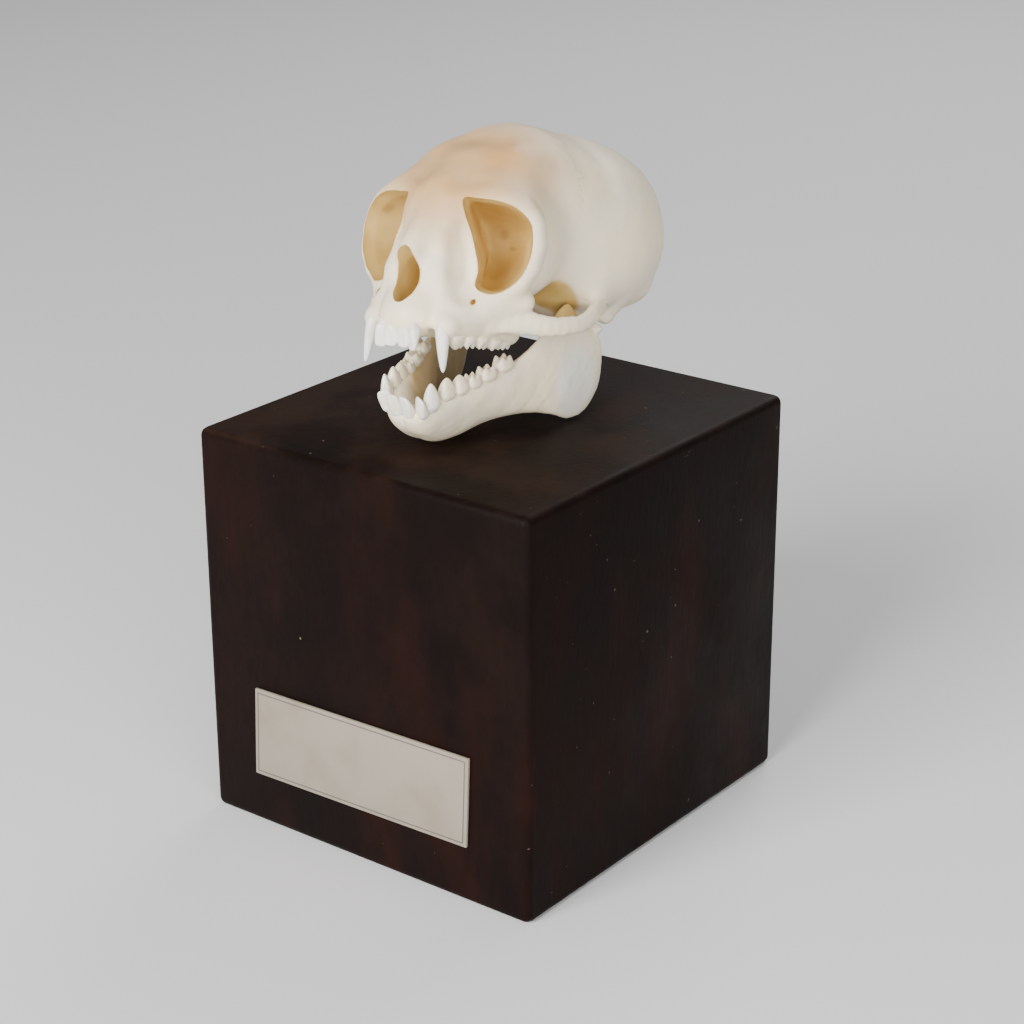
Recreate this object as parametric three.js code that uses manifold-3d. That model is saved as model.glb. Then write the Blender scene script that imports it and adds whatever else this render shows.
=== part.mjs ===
// Marmoset skull on a dark wooden block with a paper label, life size.
// Millimetres, +Z up, origin in the middle of the block's underside.
// The label side of the block and the face of the skull look along -Y,
// and the animal's left is at +X.
import * as THREE from 'three';
import { mergeVertices } from 'three/addons/utils/BufferGeometryUtils.js';
import Module from 'manifold-3d';

const wasm = await Module();
wasm.setup();

const GAP = 0.3;

// The stand: a block of dark wood with a paper card on its front.
const BLOCK = { width: 47, depth: 49.5, height: 48, corner: 1.4, edge: 0.7 };
const CARD = { width: 31.6, height: 11.1, thick: 0.5, low: 7.1, aside: -0.35, lean: 1.1 };

// How the cranium and the jaw sit over the block, in millimetres and degrees.
const CRANIUM_POSE = { y: 5, aboveBlock: 11.5, yaw: 4, roll: 3.5, pitch: 10 };
const JAW_POSE = { y: 5, yaw: 4 };

// The cranium's masses, in its own frame: x to the left, -y to the nose, z up.
// Each is an egg (at, size) or a rod (from, to, thick at both ends), and those
// with x above zero have a twin on the right. blend is how softly it joins in.
const BRAIN_MASSES = [
  { at: [0, 4.8, 8.7], size: [12.6, 14.8, 10.7], blend: 2 },
  { at: [0, -3.4, 10.1], size: [10.7, 10.4, 10.5], blend: 2.2 },
  { at: [6.8, 3.4, 5.6], size: [5.7, 8.8, 5.8], blend: 3 },
  { at: [0, 11.0, 6.4], size: [9.8, 7.6, 6.4], blend: 3 },
  { at: [7.6, 9.0, 2.4], size: [3.0, 4.4, 2.4], blend: 1.5 },
  { at: [0, 2.5, 1.9], size: [3.6, 10, 2.6], blend: 2 },
  { at: [5.0, 1.6, 0.6], size: [2.8, 4.9, 2.8], blend: 1 },
  { from: [8.6, 2.6, 2.2], to: [11.0, -1.6, 1.7], thick: [1.3, 0.9], blend: 1.2 },
  { at: [9.0, -0.2, 3.2], size: [2.2, 3.2, 2.0], blend: 1.8 },
  { from: [9.2, 4.6, 1.6], to: [9.0, 3.6, -0.6], thick: [1.5, 1.0], blend: 1.2 },
];
const FACE_MASSES = [
  { at: [6.0, -11.4, 8.2], size: [5.0, 6.2, 6.4], blend: 2 },
  { from: [5.6, -13.4, 12.2], to: [4.6, -9.4, 15.0], thick: [2.4, 2.6], blend: 3 },
  { from: [0, -15.4, 13.2], to: [0, -12.0, 15.0], thick: [2.4, 2.8], blend: 3 },
  { from: [0.6, -15.1, 13.3], to: [4.4, -13.4, 13.1], thick: [1.5, 1.4], blend: 2.5 },
  { at: [0, -17.4, 1.6], size: [4.8, 6.6, 3.9], blend: 2 },
  { at: [0, -22.2, 0.2], size: [3.4, 2.3, 2.2], blend: 1.2 },
  { at: [4.6, -16.6, 1.2], size: [2.6, 5.0, 3.2], blend: 1.2 },
  { from: [0, -17.0, 12.2], to: [0, -21.9, 7.0], thick: [1.9, 1.6], blend: 2.2 },
  { from: [2.0, -17.0, 12.0], to: [2.5, -20.2, 5.0], thick: [1.7, 1.9], blend: 1.5 },
  { from: [3.2, -18.6, 7.0], to: [3.8, -19.8, 2.6], thick: [1.4, 1.2], blend: 1.5 },
  { from: [3.0, -20.4, 4.0], to: [4.1, -21.8, -0.3], thick: [0.8, 0.85], blend: 0.9 },
  { from: [6.6, -17.0, 1.7], to: [9.2, -13.8, 2.2], thick: [1.5, 1.3], blend: 1.4 },
  { from: [4.7, -21.4, -0.3], to: [5.9, -11.8, -1.7], thick: [1.35, 1.45], blend: 0.8 },
  { from: [3.0, -9.6, 0.8], to: [3.3, -6.2, -1.6], thick: [1.1, 0.7], blend: 0.8 },
];

// Soft hollows pressed into the clay: the slope on the nose side of each orbit,
// and the gap in the gum between the front teeth and the fang.
const HOLLOWS = [
  { from: [4.7, -19.5, 9.4], to: [6.0, -20.1, 3.6], thick: [1.1, 1.1], blend: 1.8 },
  { from: [3.5, -24.2, -1.5], to: [3.4, -21.6, -1.5], thick: [0.8, 0.8], blend: 0.6 },
];

// The left orbit: the outline of its mouth, from the outer side up and over to
// the nose side and back below, as x and z in the plane of its rim.
const ORBIT = {
  at: [7.1, -16.4, 8.3],
  turnOut: 18,
  tiltUp: 9,
  mouth: [
    [4.0, 0.4], [3.6, 2.4], [2.2, 3.7], [0.4, 4.35], [-1.9, 4.55], [-3.5, 4.45], [-3.2, 2.8],
    [-2.5, 1.0], [-1.9, -0.8], [-1.5, -2.6], [-1.6, -4.4], [0.3, -5.0], [2.5, -3.7], [3.6, -1.9],
  ],
  rim: 0.95,
  rimSet: 0.9,
  depth: 9.2,
  reach: 6,
  flare: 1.06,
  apex: [-2.6, 0.6],
};

// The nose opening, the small holes below the orbits and the hole for the spinal cord.
const NOSE = { at: [0, -22.6, 4.6], halfWidth: 1.4, halfHeight: 2.8, depth: 7, reach: 4, slope: 24 };
const CHEEK_HOLE = { at: [6.8, -20.4, 2.3], radius: 0.3, depth: 2.2, reach: 2, turnOut: 20 };
const CORD_HOLE = { at: [0, 11.0, 1.2], radius: 2.7, flat: 0.8, depth: 3.2, reach: 4, tilt: 35 };

// The cheek arch, from inside the cheek bone back to its root over the jaw joint.
const ARCH = {
  path: [
    [7.0, -16.4, 0.4], [9.6, -13.4, -0.1], [11.4, -10.6, -0.6],
    [12.3, -6.8, -0.4], [11.9, -3.2, 0.6], [10.2, 0.2, 1.6],
  ],
  halfHeight: [1.9, 1.9, 1.4, 1.0, 0.85, 0.9],
  halfThick: [0.9, 0.75, 0.65, 0.6, 0.65, 0.8],
  square: 0.85,
  front: -12.8,
  back: -2.6,
};

// The cut that parts the face from the braincase, through the forehead and
// down behind the palate.
const PARTING = { top: [-11.6, 20], bottom: [-7.4, -2] };

// The left half of the jaw: its lower edge, its upper edge and its thickness,
// from the midline back round the corner to the joint. z is above the block.
const JAW = {
  lower: [
    [-0.3, -18.1, 1.4], [0.9, -17.8, 1.0], [1.9, -16.9, 1.1], [4.0, -13.4, 2.0],
    [6.1, -9.4, 2.0], [7.5, -6.2, 1.2], [8.4, -3.0, -0.15], [8.9, -0.5, 0.3],
    [9.2, 1.6, 2.5], [9.1, 2.2, 5.4], [8.7, 1.9, 8.0],
  ],
  upper: [
    [-0.3, -23.5, 5.1], [1.3, -23.3, 5.2], [2.7, -21.8, 6.3], [3.8, -18.5, 7.0],
    [5.0, -14.0, 7.5], [6.0, -10.2, 8.4], [7.2, -7.6, 10.4], [8.3, -3.4, 13.6],
    [8.6, -1.8, 11.6], [8.7, 0.2, 9.8], [8.6, 1.2, 9.6],
  ],
  halfThick: [1.6, 1.6, 1.5, 1.35, 1.15, 0.9, 0.7, 0.55, 0.55, 0.65, 0.9],
  square: 0.8,
};
const JAW_CLEARANCE = 0.35;
const JAW_ROOM = { width: 90, height: 60 };
const CONDYLE = { at: [8.1, 1.6, 9.4], size: [1.8, 0.95, 0.85] };

// Teeth, left side, front to back: where the root leaves the bone, the crown's
// length along the row, its width across it and its height, its lean to the
// front and to the outside, and its number of cusps. The right side is their
// mirror image.
const UPPER_ROW = [
  { at: [0.85, -23.8, -0.8], along: 1.9, across: 1.3, height: 2.0, lean: 8, splay: 0, cusps: 0 },
  { at: [2.1, -23.9, -0.8], along: 1.5, across: 1.3, height: 2.2, lean: 6, splay: 0, cusps: 0 },
  { at: [4.6, -22.2, -0.4], along: 1.6, across: 1.5, height: 4.8, lean: 5, splay: 7, cusps: 1 },
  { at: [5.1, -20.4, -1.4], along: 1.9, across: 1.7, height: 1.5, lean: 0, splay: 0, cusps: 1 },
  { at: [5.4, -18.7, -1.6], along: 1.9, across: 2.0, height: 1.4, lean: 0, splay: 0, cusps: 2 },
  { at: [5.7, -16.9, -1.9], along: 2.0, across: 2.2, height: 1.2, lean: 0, splay: 0, cusps: 2 },
  { at: [5.9, -14.8, -2.3], along: 2.3, across: 2.4, height: 1.1, lean: 0, splay: 0, cusps: 3 },
  { at: [6.0, -12.8, -2.6], along: 1.9, across: 1.8, height: 0.9, lean: 0, splay: 0, cusps: 3 },
];
const LOWER_ROW = [
  { at: [0.8, -23.2, 4.9], along: 1.7, across: 1.3, height: 2.6, lean: 30, splay: 0, cusps: 0 },
  { at: [2.2, -22.8, 5.1], along: 1.8, across: 1.4, height: 2.2, lean: 24, splay: 8, cusps: 0 },
  { at: [2.95, -22.1, 5.9], along: 1.9, across: 1.5, height: 2.7, lean: 8, splay: 3, cusps: 1 },
  { at: [3.5, -20.1, 6.6], along: 2.1, across: 1.6, height: 2.1, lean: 3, splay: 3, cusps: 1 },
  { at: [4.0, -18.3, 6.8], along: 2.0, across: 1.8, height: 1.8, lean: 2, splay: 0, cusps: 1 },
  { at: [4.4, -16.5, 7.0], along: 2.0, across: 1.9, height: 1.4, lean: 0, splay: 0, cusps: 2 },
  { at: [4.9, -14.5, 7.4], along: 2.5, across: 2.1, height: 1.4, lean: 0, splay: 0, cusps: 4 },
  { at: [5.5, -12.1, 8.0], along: 2.5, across: 2.0, height: 1.5, lean: 0, splay: 0, cusps: 4 },
];
const CROWD_AT_FRONT = [81, 66];
const ROOT_SINK = 0.9;

// How finely each shape is faceted: round it, then along it.
const FACETS = {
  face: [56, 36],
  brain: [40, 26],
  jaw: [10, 26],
  arch: [8, 18],
  cup: [18, 12],
  knob: [12, 8],
};
const TOOTH_SIDES = { plain: 8, cusped: 10 };
const TOOTH_RINGS = 5;

// The search along each ray for the clay's surface: its step and its halvings.
const RAY = { step: 0.4, halvings: 9, nearest: 0.5 };
const MIDDLE_OF_FACE = [0, -14.5, 5];
const MIDDLE_OF_BRAIN = [0, 1.5, 8];
const AMPLE = 90;

const BONE = new THREE.MeshStandardMaterial({ color: 0xe6dccb, roughness: 0.55, metalness: 0 });
const WOOD = new THREE.MeshStandardMaterial({ color: 0x2a1b17, roughness: 0.5, metalness: 0 });
const PAPER = new THREE.MeshStandardMaterial({ color: 0xcfc8bb, roughness: 0.85, metalness: 0 });

const radians = THREE.MathUtils.degToRad;
const vector = (list) => new THREE.Vector3(...list);

// A closed geometry as a solid that can be joined and cut.
function solidOf(geometry) {
  const bare = geometry.clone();
  bare.deleteAttribute('normal');
  bare.deleteAttribute('uv');
  const merged = mergeVertices(bare, 1e-5);
  const corners = new Uint32Array(merged.index.array);
  const vertProperties = new Float32Array(merged.attributes.position.array);
  const make = () => new wasm.Manifold(new wasm.Mesh({ numProp: 3, vertProperties, triVerts: corners }));
  const solid = make();
  if (solid.volume() > 0) return solid;
  for (let i = 0; i < corners.length; i += 3) {
    [corners[i], corners[i + 1]] = [corners[i + 1], corners[i]];
  }
  return make();
}

// A solid's largest closed body as a geometry.
function geometryOf(solid) {
  const bodies = solid.decompose();
  const body = bodies.reduce((a, b) => (a.volume() > b.volume() ? a : b));
  const mesh = body.getMesh();
  const geometry = new THREE.BufferGeometry();
  geometry.setAttribute('position', new THREE.BufferAttribute(mesh.vertProperties, 3));
  geometry.setIndex(new THREE.BufferAttribute(mesh.triVerts, 1));
  geometry.computeVertexNormals();
  return geometry;
}

const joined = (solids) => solids.reduce((whole, piece) => whole.add(piece));

// The mirror image of a solid's geometry across the midline.
function mirrored(geometry) {
  const twin = geometry.clone();
  twin.scale(-1, 1, 1);
  const index = twin.index;
  for (let i = 0; i < index.count; i += 3) {
    const first = index.getX(i);
    index.setX(i, index.getX(i + 1));
    index.setX(i + 1, first);
  }
  return twin;
}

const bothSides = (geometry) => [solidOf(geometry), solidOf(mirrored(geometry))];

// A sample of a list of numbers at a place from 0 to 1 along it.
function along(list, t) {
  const place = THREE.MathUtils.clamp(t, 0, 1) * (list.length - 1);
  const low = Math.min(Math.floor(place), list.length - 2);
  const share = place - low;
  return list[low] * (1 - share) + list[low + 1] * share;
}

// The frame that the left orbit's mouth lies in.
function orbitFrame() {
  const frame = new THREE.Matrix4().makeRotationFromEuler(
    new THREE.Euler(radians(-ORBIT.tiltUp), 0, radians(ORBIT.turnOut), 'ZXY'),
  );
  return frame.setPosition(vector(ORBIT.at));
}

// A ring of rods round the mouth of the orbit, set a little way in.
function rimRods() {
  const frame = orbitFrame();
  const places = ORBIT.mouth.map(([x, z]) => vector([x, ORBIT.rimSet, z]).applyMatrix4(frame));
  return places.map((place, i) => ({
    from: place.toArray(),
    to: places[(i + 1) % places.length].toArray(),
    thick: [ORBIT.rim, ORBIT.rim],
    blend: 1.6,
  }));
}

// How far a point is outside one mass, below zero inside it.
function distanceTo(mass, x, y, z) {
  if (mass.size) {
    const [a, b, c] = mass.size;
    const dx = x - mass.at[0];
    const dy = y - mass.at[1];
    const dz = z - mass.at[2];
    const near = Math.hypot(dx / a, dy / b, dz / c);
    const steep = Math.hypot(dx / (a * a), dy / (b * b), dz / (c * c));
    return steep > 0 ? (near * (near - 1)) / steep : -Math.min(a, b, c);
  }
  const [ax, ay, az] = mass.from;
  const rod = [mass.to[0] - ax, mass.to[1] - ay, mass.to[2] - az];
  const reach = rod[0] ** 2 + rod[1] ** 2 + rod[2] ** 2;
  const dot = (x - ax) * rod[0] + (y - ay) * rod[1] + (z - az) * rod[2];
  const t = THREE.MathUtils.clamp(dot / reach, 0, 1);
  const gap = Math.hypot(x - ax - rod[0] * t, y - ay - rod[1] * t, z - az - rod[2] * t);
  return gap - (mass.thick[0] * (1 - t) + mass.thick[1] * t);
}

// All masses of the cranium run together like clay.
const MASSES = [...BRAIN_MASSES, ...FACE_MASSES, ...rimRods()];
const MIDLINE_SOFTNESS = 0.25;

function clay(x, y, z) {
  const side = Math.hypot(x, MIDLINE_SOFTNESS);
  let best = Infinity;
  for (const mass of MASSES) {
    const next = distanceTo(mass, side, y, z);
    const share = Math.max(mass.blend - Math.abs(best - next), 0) / mass.blend;
    best = Math.min(best, next) - (share * share * mass.blend) / 4;
  }
  for (const hollow of HOLLOWS) {
    const next = -distanceTo(hollow, side, y, z);
    const share = Math.max(hollow.blend - Math.abs(best - next), 0) / hollow.blend;
    best = Math.max(best, next) + (share * share * hollow.blend) / 4;
  }
  return best;
}

// A ball whose skin is drawn in along rays from its middle onto the clay.
function drawnSkin(middle, [segments, rings], reach, crowd) {
  const ball = new THREE.SphereGeometry(1, segments, rings);
  ball.rotateX(Math.PI);
  const points = ball.attributes.position;
  const ray = new THREE.Vector3();
  for (let i = 0; i < points.count; i += 1) {
    ray.fromBufferAttribute(points, i);
    const polar = Math.acos(THREE.MathUtils.clamp(-ray.y, -1, 1));
    const bent = polar - crowd * Math.sin(polar);
    const ring = Math.hypot(ray.x, ray.z) || 1;
    ray.set((ray.x / ring) * Math.sin(bent), -Math.cos(bent), (ray.z / ring) * Math.sin(bent));
    let far = reach;
    while (far > RAY.nearest && clay(middle[0] + ray.x * far, middle[1] + ray.y * far,
      middle[2] + ray.z * far) > 0) {
      far -= RAY.step;
    }
    let near = far;
    far += RAY.step;
    for (let step = 0; step < RAY.halvings; step += 1) {
      const half = (near + far) / 2;
      const out = clay(middle[0] + ray.x * half, middle[1] + ray.y * half,
        middle[2] + ray.z * half) > 0;
      if (out) far = half;
      else near = half;
    }
    points.setXYZ(i, middle[0] + ray.x * near, middle[1] + ray.y * near,
      middle[2] + ray.z * near);
  }
  return ball;
}

// A cylinder whose rings are laid from one curve to another, as a row of
// rungs, each as thick as the list says and as square as asked.
function rungLoft(lower, upper, halfThick, [sides, steps], square) {
  const low = new THREE.CatmullRomCurve3(lower.map(vector), false, 'centripetal');
  const high = new THREE.CatmullRomCurve3(upper.map(vector), false, 'centripetal');
  const rod = new THREE.CylinderGeometry(1, 1, 1, sides, steps);
  const points = rod.attributes.position;
  const middle = (t) => low.getPoint(t).add(high.getPoint(t)).multiplyScalar(0.5);
  const curl = (value) => Math.sign(value) * Math.abs(value) ** square;
  for (let i = 0; i < points.count; i += 1) {
    const t = 0.5 - points.getY(i);
    const core = middle(t);
    const rung = high.getPoint(t).sub(low.getPoint(t)).multiplyScalar(0.5);
    const onward = middle(Math.min(t + 0.02, 1)).sub(middle(Math.max(t - 0.02, 0)));
    const outward = onward.clone().cross(rung).normalize();
    const place = core.clone()
      .addScaledVector(rung, curl(points.getX(i)))
      .addScaledVector(outward, curl(points.getZ(i)) * along(halfThick, t));
    points.setXYZ(i, place.x, place.y, place.z);
  }
  return rod;
}

// One tooth, its neck at the origin, its crown down -z and its root up +z.
// Front teeth are chisels, those with one cusp are points, and the rest have a
// hollow crown between blunt cusps.
function tooth({ along: length, across, height, cusps }, sides) {
  const crown = new THREE.SphereGeometry(1, sides, TOOTH_RINGS);
  crown.rotateX(Math.PI / 2);
  const points = crown.attributes.position;
  const span = height + ROOT_SINK;
  for (let i = 0; i < points.count; i += 1) {
    const x = points.getX(i);
    const y = points.getY(i);
    const down = (1 - points.getZ(i)) / 2;
    const ring = Math.hypot(x, y);
    const full = ring > 1e-4 ? Math.sin(Math.PI * down) ** 0.3 / ring : 0;
    const narrow = cusps === 1 ? 1.12 - 0.85 * down ** 1.6 : 1.1 - 0.22 * down ** 3;
    const chisel = cusps === 0 ? 1 - 0.62 * down ** 2 : 1;
    const px = x * full * (across / 2) * narrow * chisel;
    const py = y * full * (length / 2) * narrow;
    let pz = ROOT_SINK - down * span;
    if (cusps > 1 && down > 0.6) {
      const valley = ((px / across) ** 2 + (py / length) ** 2) * 3;
      pz += height * 0.28 * (1 - Math.min(valley, 1)) * ((down - 0.6) / 0.4);
    }
    points.setXYZ(i, px, py, pz);
  }
  return crown;
}

// A row of teeth on both sides, set along the jaw and turned to follow it.
function toothRow(row, upward) {
  return row.flatMap((spec, index) => {
    const crown = tooth(spec, spec.cusps > 1 ? TOOTH_SIDES.cusped : TOOTH_SIDES.plain);
    const next = row[Math.min(index + 1, row.length - 1)].at;
    const last = row[Math.max(index - 1, 0)].at;
    const follow = -Math.atan2(next[0] - last[0], next[1] - last[1]);
    const heading = index < CROWD_AT_FRONT.length ? radians(CROWD_AT_FRONT[index]) : follow;
    if (upward) crown.rotateY(Math.PI);
    crown.rotateZ(heading);
    crown.rotateX(radians(upward ? spec.lean : -spec.lean));
    crown.rotateY(radians(upward ? spec.splay : -spec.splay));
    crown.translate(...spec.at);
    return bothSides(crown);
  });
}

// A block with its four upright edges and its upper and lower edges rounded over.
function roundedBlock(width, depth, height, corner, edge) {
  const w = width / 2 - corner;
  const d = depth / 2 - corner;
  const outline = new THREE.Shape();
  outline.absarc(w, -d, corner, -Math.PI / 2, 0, false);
  outline.absarc(w, d, corner, 0, Math.PI / 2, false);
  outline.absarc(-w, d, corner, Math.PI / 2, Math.PI, false);
  outline.absarc(-w, -d, corner, Math.PI, 1.5 * Math.PI, false);
  outline.closePath();
  return new THREE.ExtrudeGeometry(outline, {
    depth: height - 2 * edge,
    bevelEnabled: true,
    bevelThickness: edge,
    bevelSize: edge,
    bevelOffset: -edge,
    bevelSegments: 3,
    curveSegments: 5,
  }).translate(0, 0, edge);
}

// A big box on one side of a slanted plane through two points of the midline.
function halfSpace(top, bottom, side, offset) {
  const lean = Math.atan2(top[0] - bottom[0], top[1] - bottom[1]);
  const box = new THREE.BoxGeometry(AMPLE, AMPLE, AMPLE);
  box.translate(0, side * (AMPLE / 2 + offset), 0);
  box.rotateX(-lean);
  box.translate(0, (top[0] + bottom[0]) / 2, (top[1] + bottom[1]) / 2);
  return solidOf(box);
}

// A big box in front of, or behind, an upright plane across the skull.
function across(y, side) {
  const box = new THREE.BoxGeometry(AMPLE, AMPLE, AMPLE);
  return solidOf(box.translate(0, y + (side * AMPLE) / 2, 0));
}

// The cup of the left orbit, cut as one ball pressed to the rim's outline
// and drawn back to its apex.
function orbitCup() {
  const cup = new THREE.SphereGeometry(1, ...FACETS.cup);
  cup.rotateX(Math.PI / 2);
  const points = cup.attributes.position;
  const outline = new THREE.CatmullRomCurve3(
    ORBIT.mouth.map(([x, z]) => vector([x, 0, z])), true, 'centripetal',
  );
  for (let i = 0; i < points.count; i += 1) {
    const deep = points.getZ(i);
    const turn = Math.atan2(points.getY(i), points.getX(i));
    const ring = Math.hypot(points.getX(i), points.getY(i));
    const { x, z } = outline.getPoint((turn / (2 * Math.PI) + 1) % 1);
    if (deep > 0) {
      const back = ORBIT.depth * deep;
      const shift = deep ** 1.5;
      points.setXYZ(i, x * ring ** 0.5 + ORBIT.apex[0] * shift, back,
        z * ring ** 0.5 + ORBIT.apex[1] * shift);
    } else {
      const flare = ring > 1e-6 ? ORBIT.flare : 0;
      const front = -ORBIT.reach * Math.min(-deep * 4, 1);
      points.setXYZ(i, x * flare, front, z * flare);
    }
  }
  cup.applyMatrix4(orbitFrame());
  return cup;
}

// A blunt pit pressed in along +y, with an egg-shaped mouth.
function pit(halfWidth, halfHeight, depth, reach, sides = 12) {
  const profile = [
    new THREE.Vector2(0, -reach), new THREE.Vector2(1, -reach), new THREE.Vector2(1, 0),
    new THREE.Vector2(0.9, depth * 0.5), new THREE.Vector2(0.55, depth * 0.9),
    new THREE.Vector2(0, depth),
  ];
  const shape = new THREE.LatheGeometry(profile, sides);
  shape.scale(halfWidth, 1, halfHeight);
  return shape;
}

function noseOpening() {
  const shape = pit(NOSE.halfWidth, NOSE.halfHeight, NOSE.depth, NOSE.reach, 14);
  return shape.rotateX(radians(-NOSE.slope)).translate(...NOSE.at);
}

function cheekArch() {
  const path = ARCH.path;
  const lift = (sign) => path.map(([x, y, z], i) => [x, y, z + sign * ARCH.halfHeight[i]]);
  return rungLoft(lift(-1), lift(1), ARCH.halfThick, FACETS.arch, ARCH.square);
}

// Where the cranium and the jaw stand over the block.
function poseMatrix({ y, yaw, roll = 0, pitch = 0 }, z) {
  const turn = new THREE.Euler(radians(-pitch), radians(-roll), radians(yaw), 'ZYX');
  return new THREE.Matrix4().makeRotationFromEuler(turn).setPosition(0, y, z);
}

const craniumMatrix = poseMatrix(CRANIUM_POSE, BLOCK.height + CRANIUM_POSE.aboveBlock);
const jawMatrix = poseMatrix(JAW_POSE, BLOCK.height + GAP);

// The jaw's half and its joint knob, grown all round by a clearance.
function jawPieces(grow) {
  const lift = (list) => list.map(([x, y, z]) => [x, y, z + grow]);
  const half = rungLoft(JAW.lower, lift(JAW.upper), JAW.halfThick.map((t) => t + grow),
    FACETS.jaw, JAW.square);
  const knob = new THREE.SphereGeometry(1, ...FACETS.knob)
    .scale(...CONDYLE.size.map((size) => size + grow)).translate(...CONDYLE.at);
  return [half, knob];
}

// The cranium, parted into its pieces.
const arches = bothSides(cheekArch());
const cups = bothSides(orbitCup());
const nose = solidOf(noseOpening());
const cheekHole = pit(CHEEK_HOLE.radius, CHEEK_HOLE.radius, CHEEK_HOLE.depth, CHEEK_HOLE.reach, 8)
  .rotateZ(radians(CHEEK_HOLE.turnOut)).translate(...CHEEK_HOLE.at);
const cordHole = pit(CORD_HOLE.radius, CORD_HOLE.radius * CORD_HOLE.flat, CORD_HOLE.depth, CORD_HOLE.reach)
  .rotateX(radians(90 + CORD_HOLE.tilt)).translate(...CORD_HOLE.at);

const faceSkin = solidOf(drawnSkin(MIDDLE_OF_FACE, FACETS.face, 26, 0.12));
const brainSkin = solidOf(drawnSkin(MIDDLE_OF_BRAIN, FACETS.brain, 32, 0));
const openings = joined([...cups, nose, ...bothSides(cheekHole)]);

let face = faceSkin.intersect(halfSpace(PARTING.top, PARTING.bottom, -1, GAP / 2));
face = face.add(joined(arches.map((arch) => arch.intersect(across(ARCH.front, -1)))));
face = face.subtract(openings);
face = joined([face, ...toothRow(UPPER_ROW, false)]);

let braincase = brainSkin.intersect(halfSpace(PARTING.top, PARTING.bottom, 1, GAP / 2));
braincase = braincase.add(joined(arches.map((arch) => arch.intersect(across(ARCH.back, 1)))));
braincase = braincase.subtract(solidOf(cordHole)).subtract(openings);
const jawToCranium = craniumMatrix.clone().invert().multiply(jawMatrix);
const jawRoom = jawPieces(JAW_CLEARANCE).flatMap((piece) => [piece, mirrored(piece)])
  .map((piece) => solidOf(piece.applyMatrix4(jawToCranium)));
braincase = braincase.subtract(joined(jawRoom));

const archSpans = arches.map((arch) => arch
  .intersect(across(ARCH.front + GAP, 1))
  .intersect(across(ARCH.back - GAP, -1)));

// The jaw, with its teeth, resting on flats at its chin and corners.
const roomAbove = new THREE.BoxGeometry(JAW_ROOM.width, JAW_ROOM.width, JAW_ROOM.height);
const floorBox = solidOf(roomAbove.translate(0, 0, JAW_ROOM.height / 2));
const jaw = joined([...jawPieces(0).flatMap(bothSides), ...toothRow(LOWER_ROW, true)])
  .intersect(floorBox);

// The scene graph.
function node(name, geometry, material) {
  const mesh = new THREE.Mesh(geometry, material);
  mesh.name = name;
  return mesh;
}

const block = node('base_block', geometryOf(solidOf(roundedBlock(
  BLOCK.width, BLOCK.depth, BLOCK.height, BLOCK.corner, BLOCK.edge,
))), WOOD);

const card = node('label_card', new THREE.BoxGeometry(CARD.width, CARD.thick, CARD.height), PAPER);
card.rotation.y = radians(-CARD.lean);
card.position.set(CARD.aside, -BLOCK.depth / 2 - GAP - CARD.thick / 2, CARD.low + CARD.height / 2);

const cranium = new THREE.Group();
cranium.add(node('braincase', geometryOf(braincase), BONE));
cranium.add(node('face', geometryOf(face), BONE));
cranium.add(node('cheek_arch_left', geometryOf(archSpans[0]), BONE));
cranium.add(node('cheek_arch_right', geometryOf(archSpans[1]), BONE));
cranium.applyMatrix4(craniumMatrix);

const mandible = node('mandible', geometryOf(jaw), BONE);
mandible.applyMatrix4(jawMatrix);

const part = new THREE.Group();
part.add(block, card, cranium, mandible);

export default part;
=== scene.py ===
"""Dresses a life-size marmoset skull that rests on its dark wooden display block."""

import logging
import math
from dataclasses import dataclass
from enum import Enum

import bpy
import numpy as np
from mathutils import Euler, Matrix, Vector
from mathutils.bvhtree import BVHTree


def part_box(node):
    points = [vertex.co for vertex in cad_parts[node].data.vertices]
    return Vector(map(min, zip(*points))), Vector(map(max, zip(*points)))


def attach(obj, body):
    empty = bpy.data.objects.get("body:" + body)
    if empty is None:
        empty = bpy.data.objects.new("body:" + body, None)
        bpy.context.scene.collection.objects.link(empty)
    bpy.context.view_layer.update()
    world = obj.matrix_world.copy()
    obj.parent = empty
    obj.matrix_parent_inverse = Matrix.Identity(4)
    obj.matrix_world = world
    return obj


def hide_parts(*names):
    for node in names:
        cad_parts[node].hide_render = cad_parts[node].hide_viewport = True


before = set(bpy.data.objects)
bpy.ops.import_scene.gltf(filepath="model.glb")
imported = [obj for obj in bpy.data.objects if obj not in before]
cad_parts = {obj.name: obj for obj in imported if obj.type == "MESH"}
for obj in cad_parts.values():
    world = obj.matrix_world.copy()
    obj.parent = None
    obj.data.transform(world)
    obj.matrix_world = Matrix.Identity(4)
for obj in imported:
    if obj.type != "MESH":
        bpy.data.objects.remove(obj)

log = logging.getLogger("skull")

MM = 0.001
Point = tuple[float, float, float]
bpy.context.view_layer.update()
MERGE_WITHIN = 1e-5


# Working with meshes


def to_object_mode() -> None:
    """Leaves edit mode, if it is on, and lets go of everything."""
    if bpy.context.object and bpy.context.object.mode != "OBJECT":
        bpy.ops.object.mode_set(mode="OBJECT")
    bpy.ops.object.select_all(action="DESELECT")


def pick(*objects: bpy.types.Object) -> None:
    """Selects these objects alone and makes the first one active.

    Args:
        objects: The objects that the next operator works on.
    """
    to_object_mode()
    for obj in objects:
        obj.select_set(True)
    bpy.context.view_layer.objects.active = objects[0]


def set_down(obj: bpy.types.Object) -> bpy.types.Object:
    """Moves an object's place, turn and size into its mesh.

    Args:
        obj: The object to leave untransformed at the origin.

    Returns:
        The same object.
    """
    pick(obj)
    bpy.ops.object.transform_apply(location=True, rotation=True, scale=True)
    return obj


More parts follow.
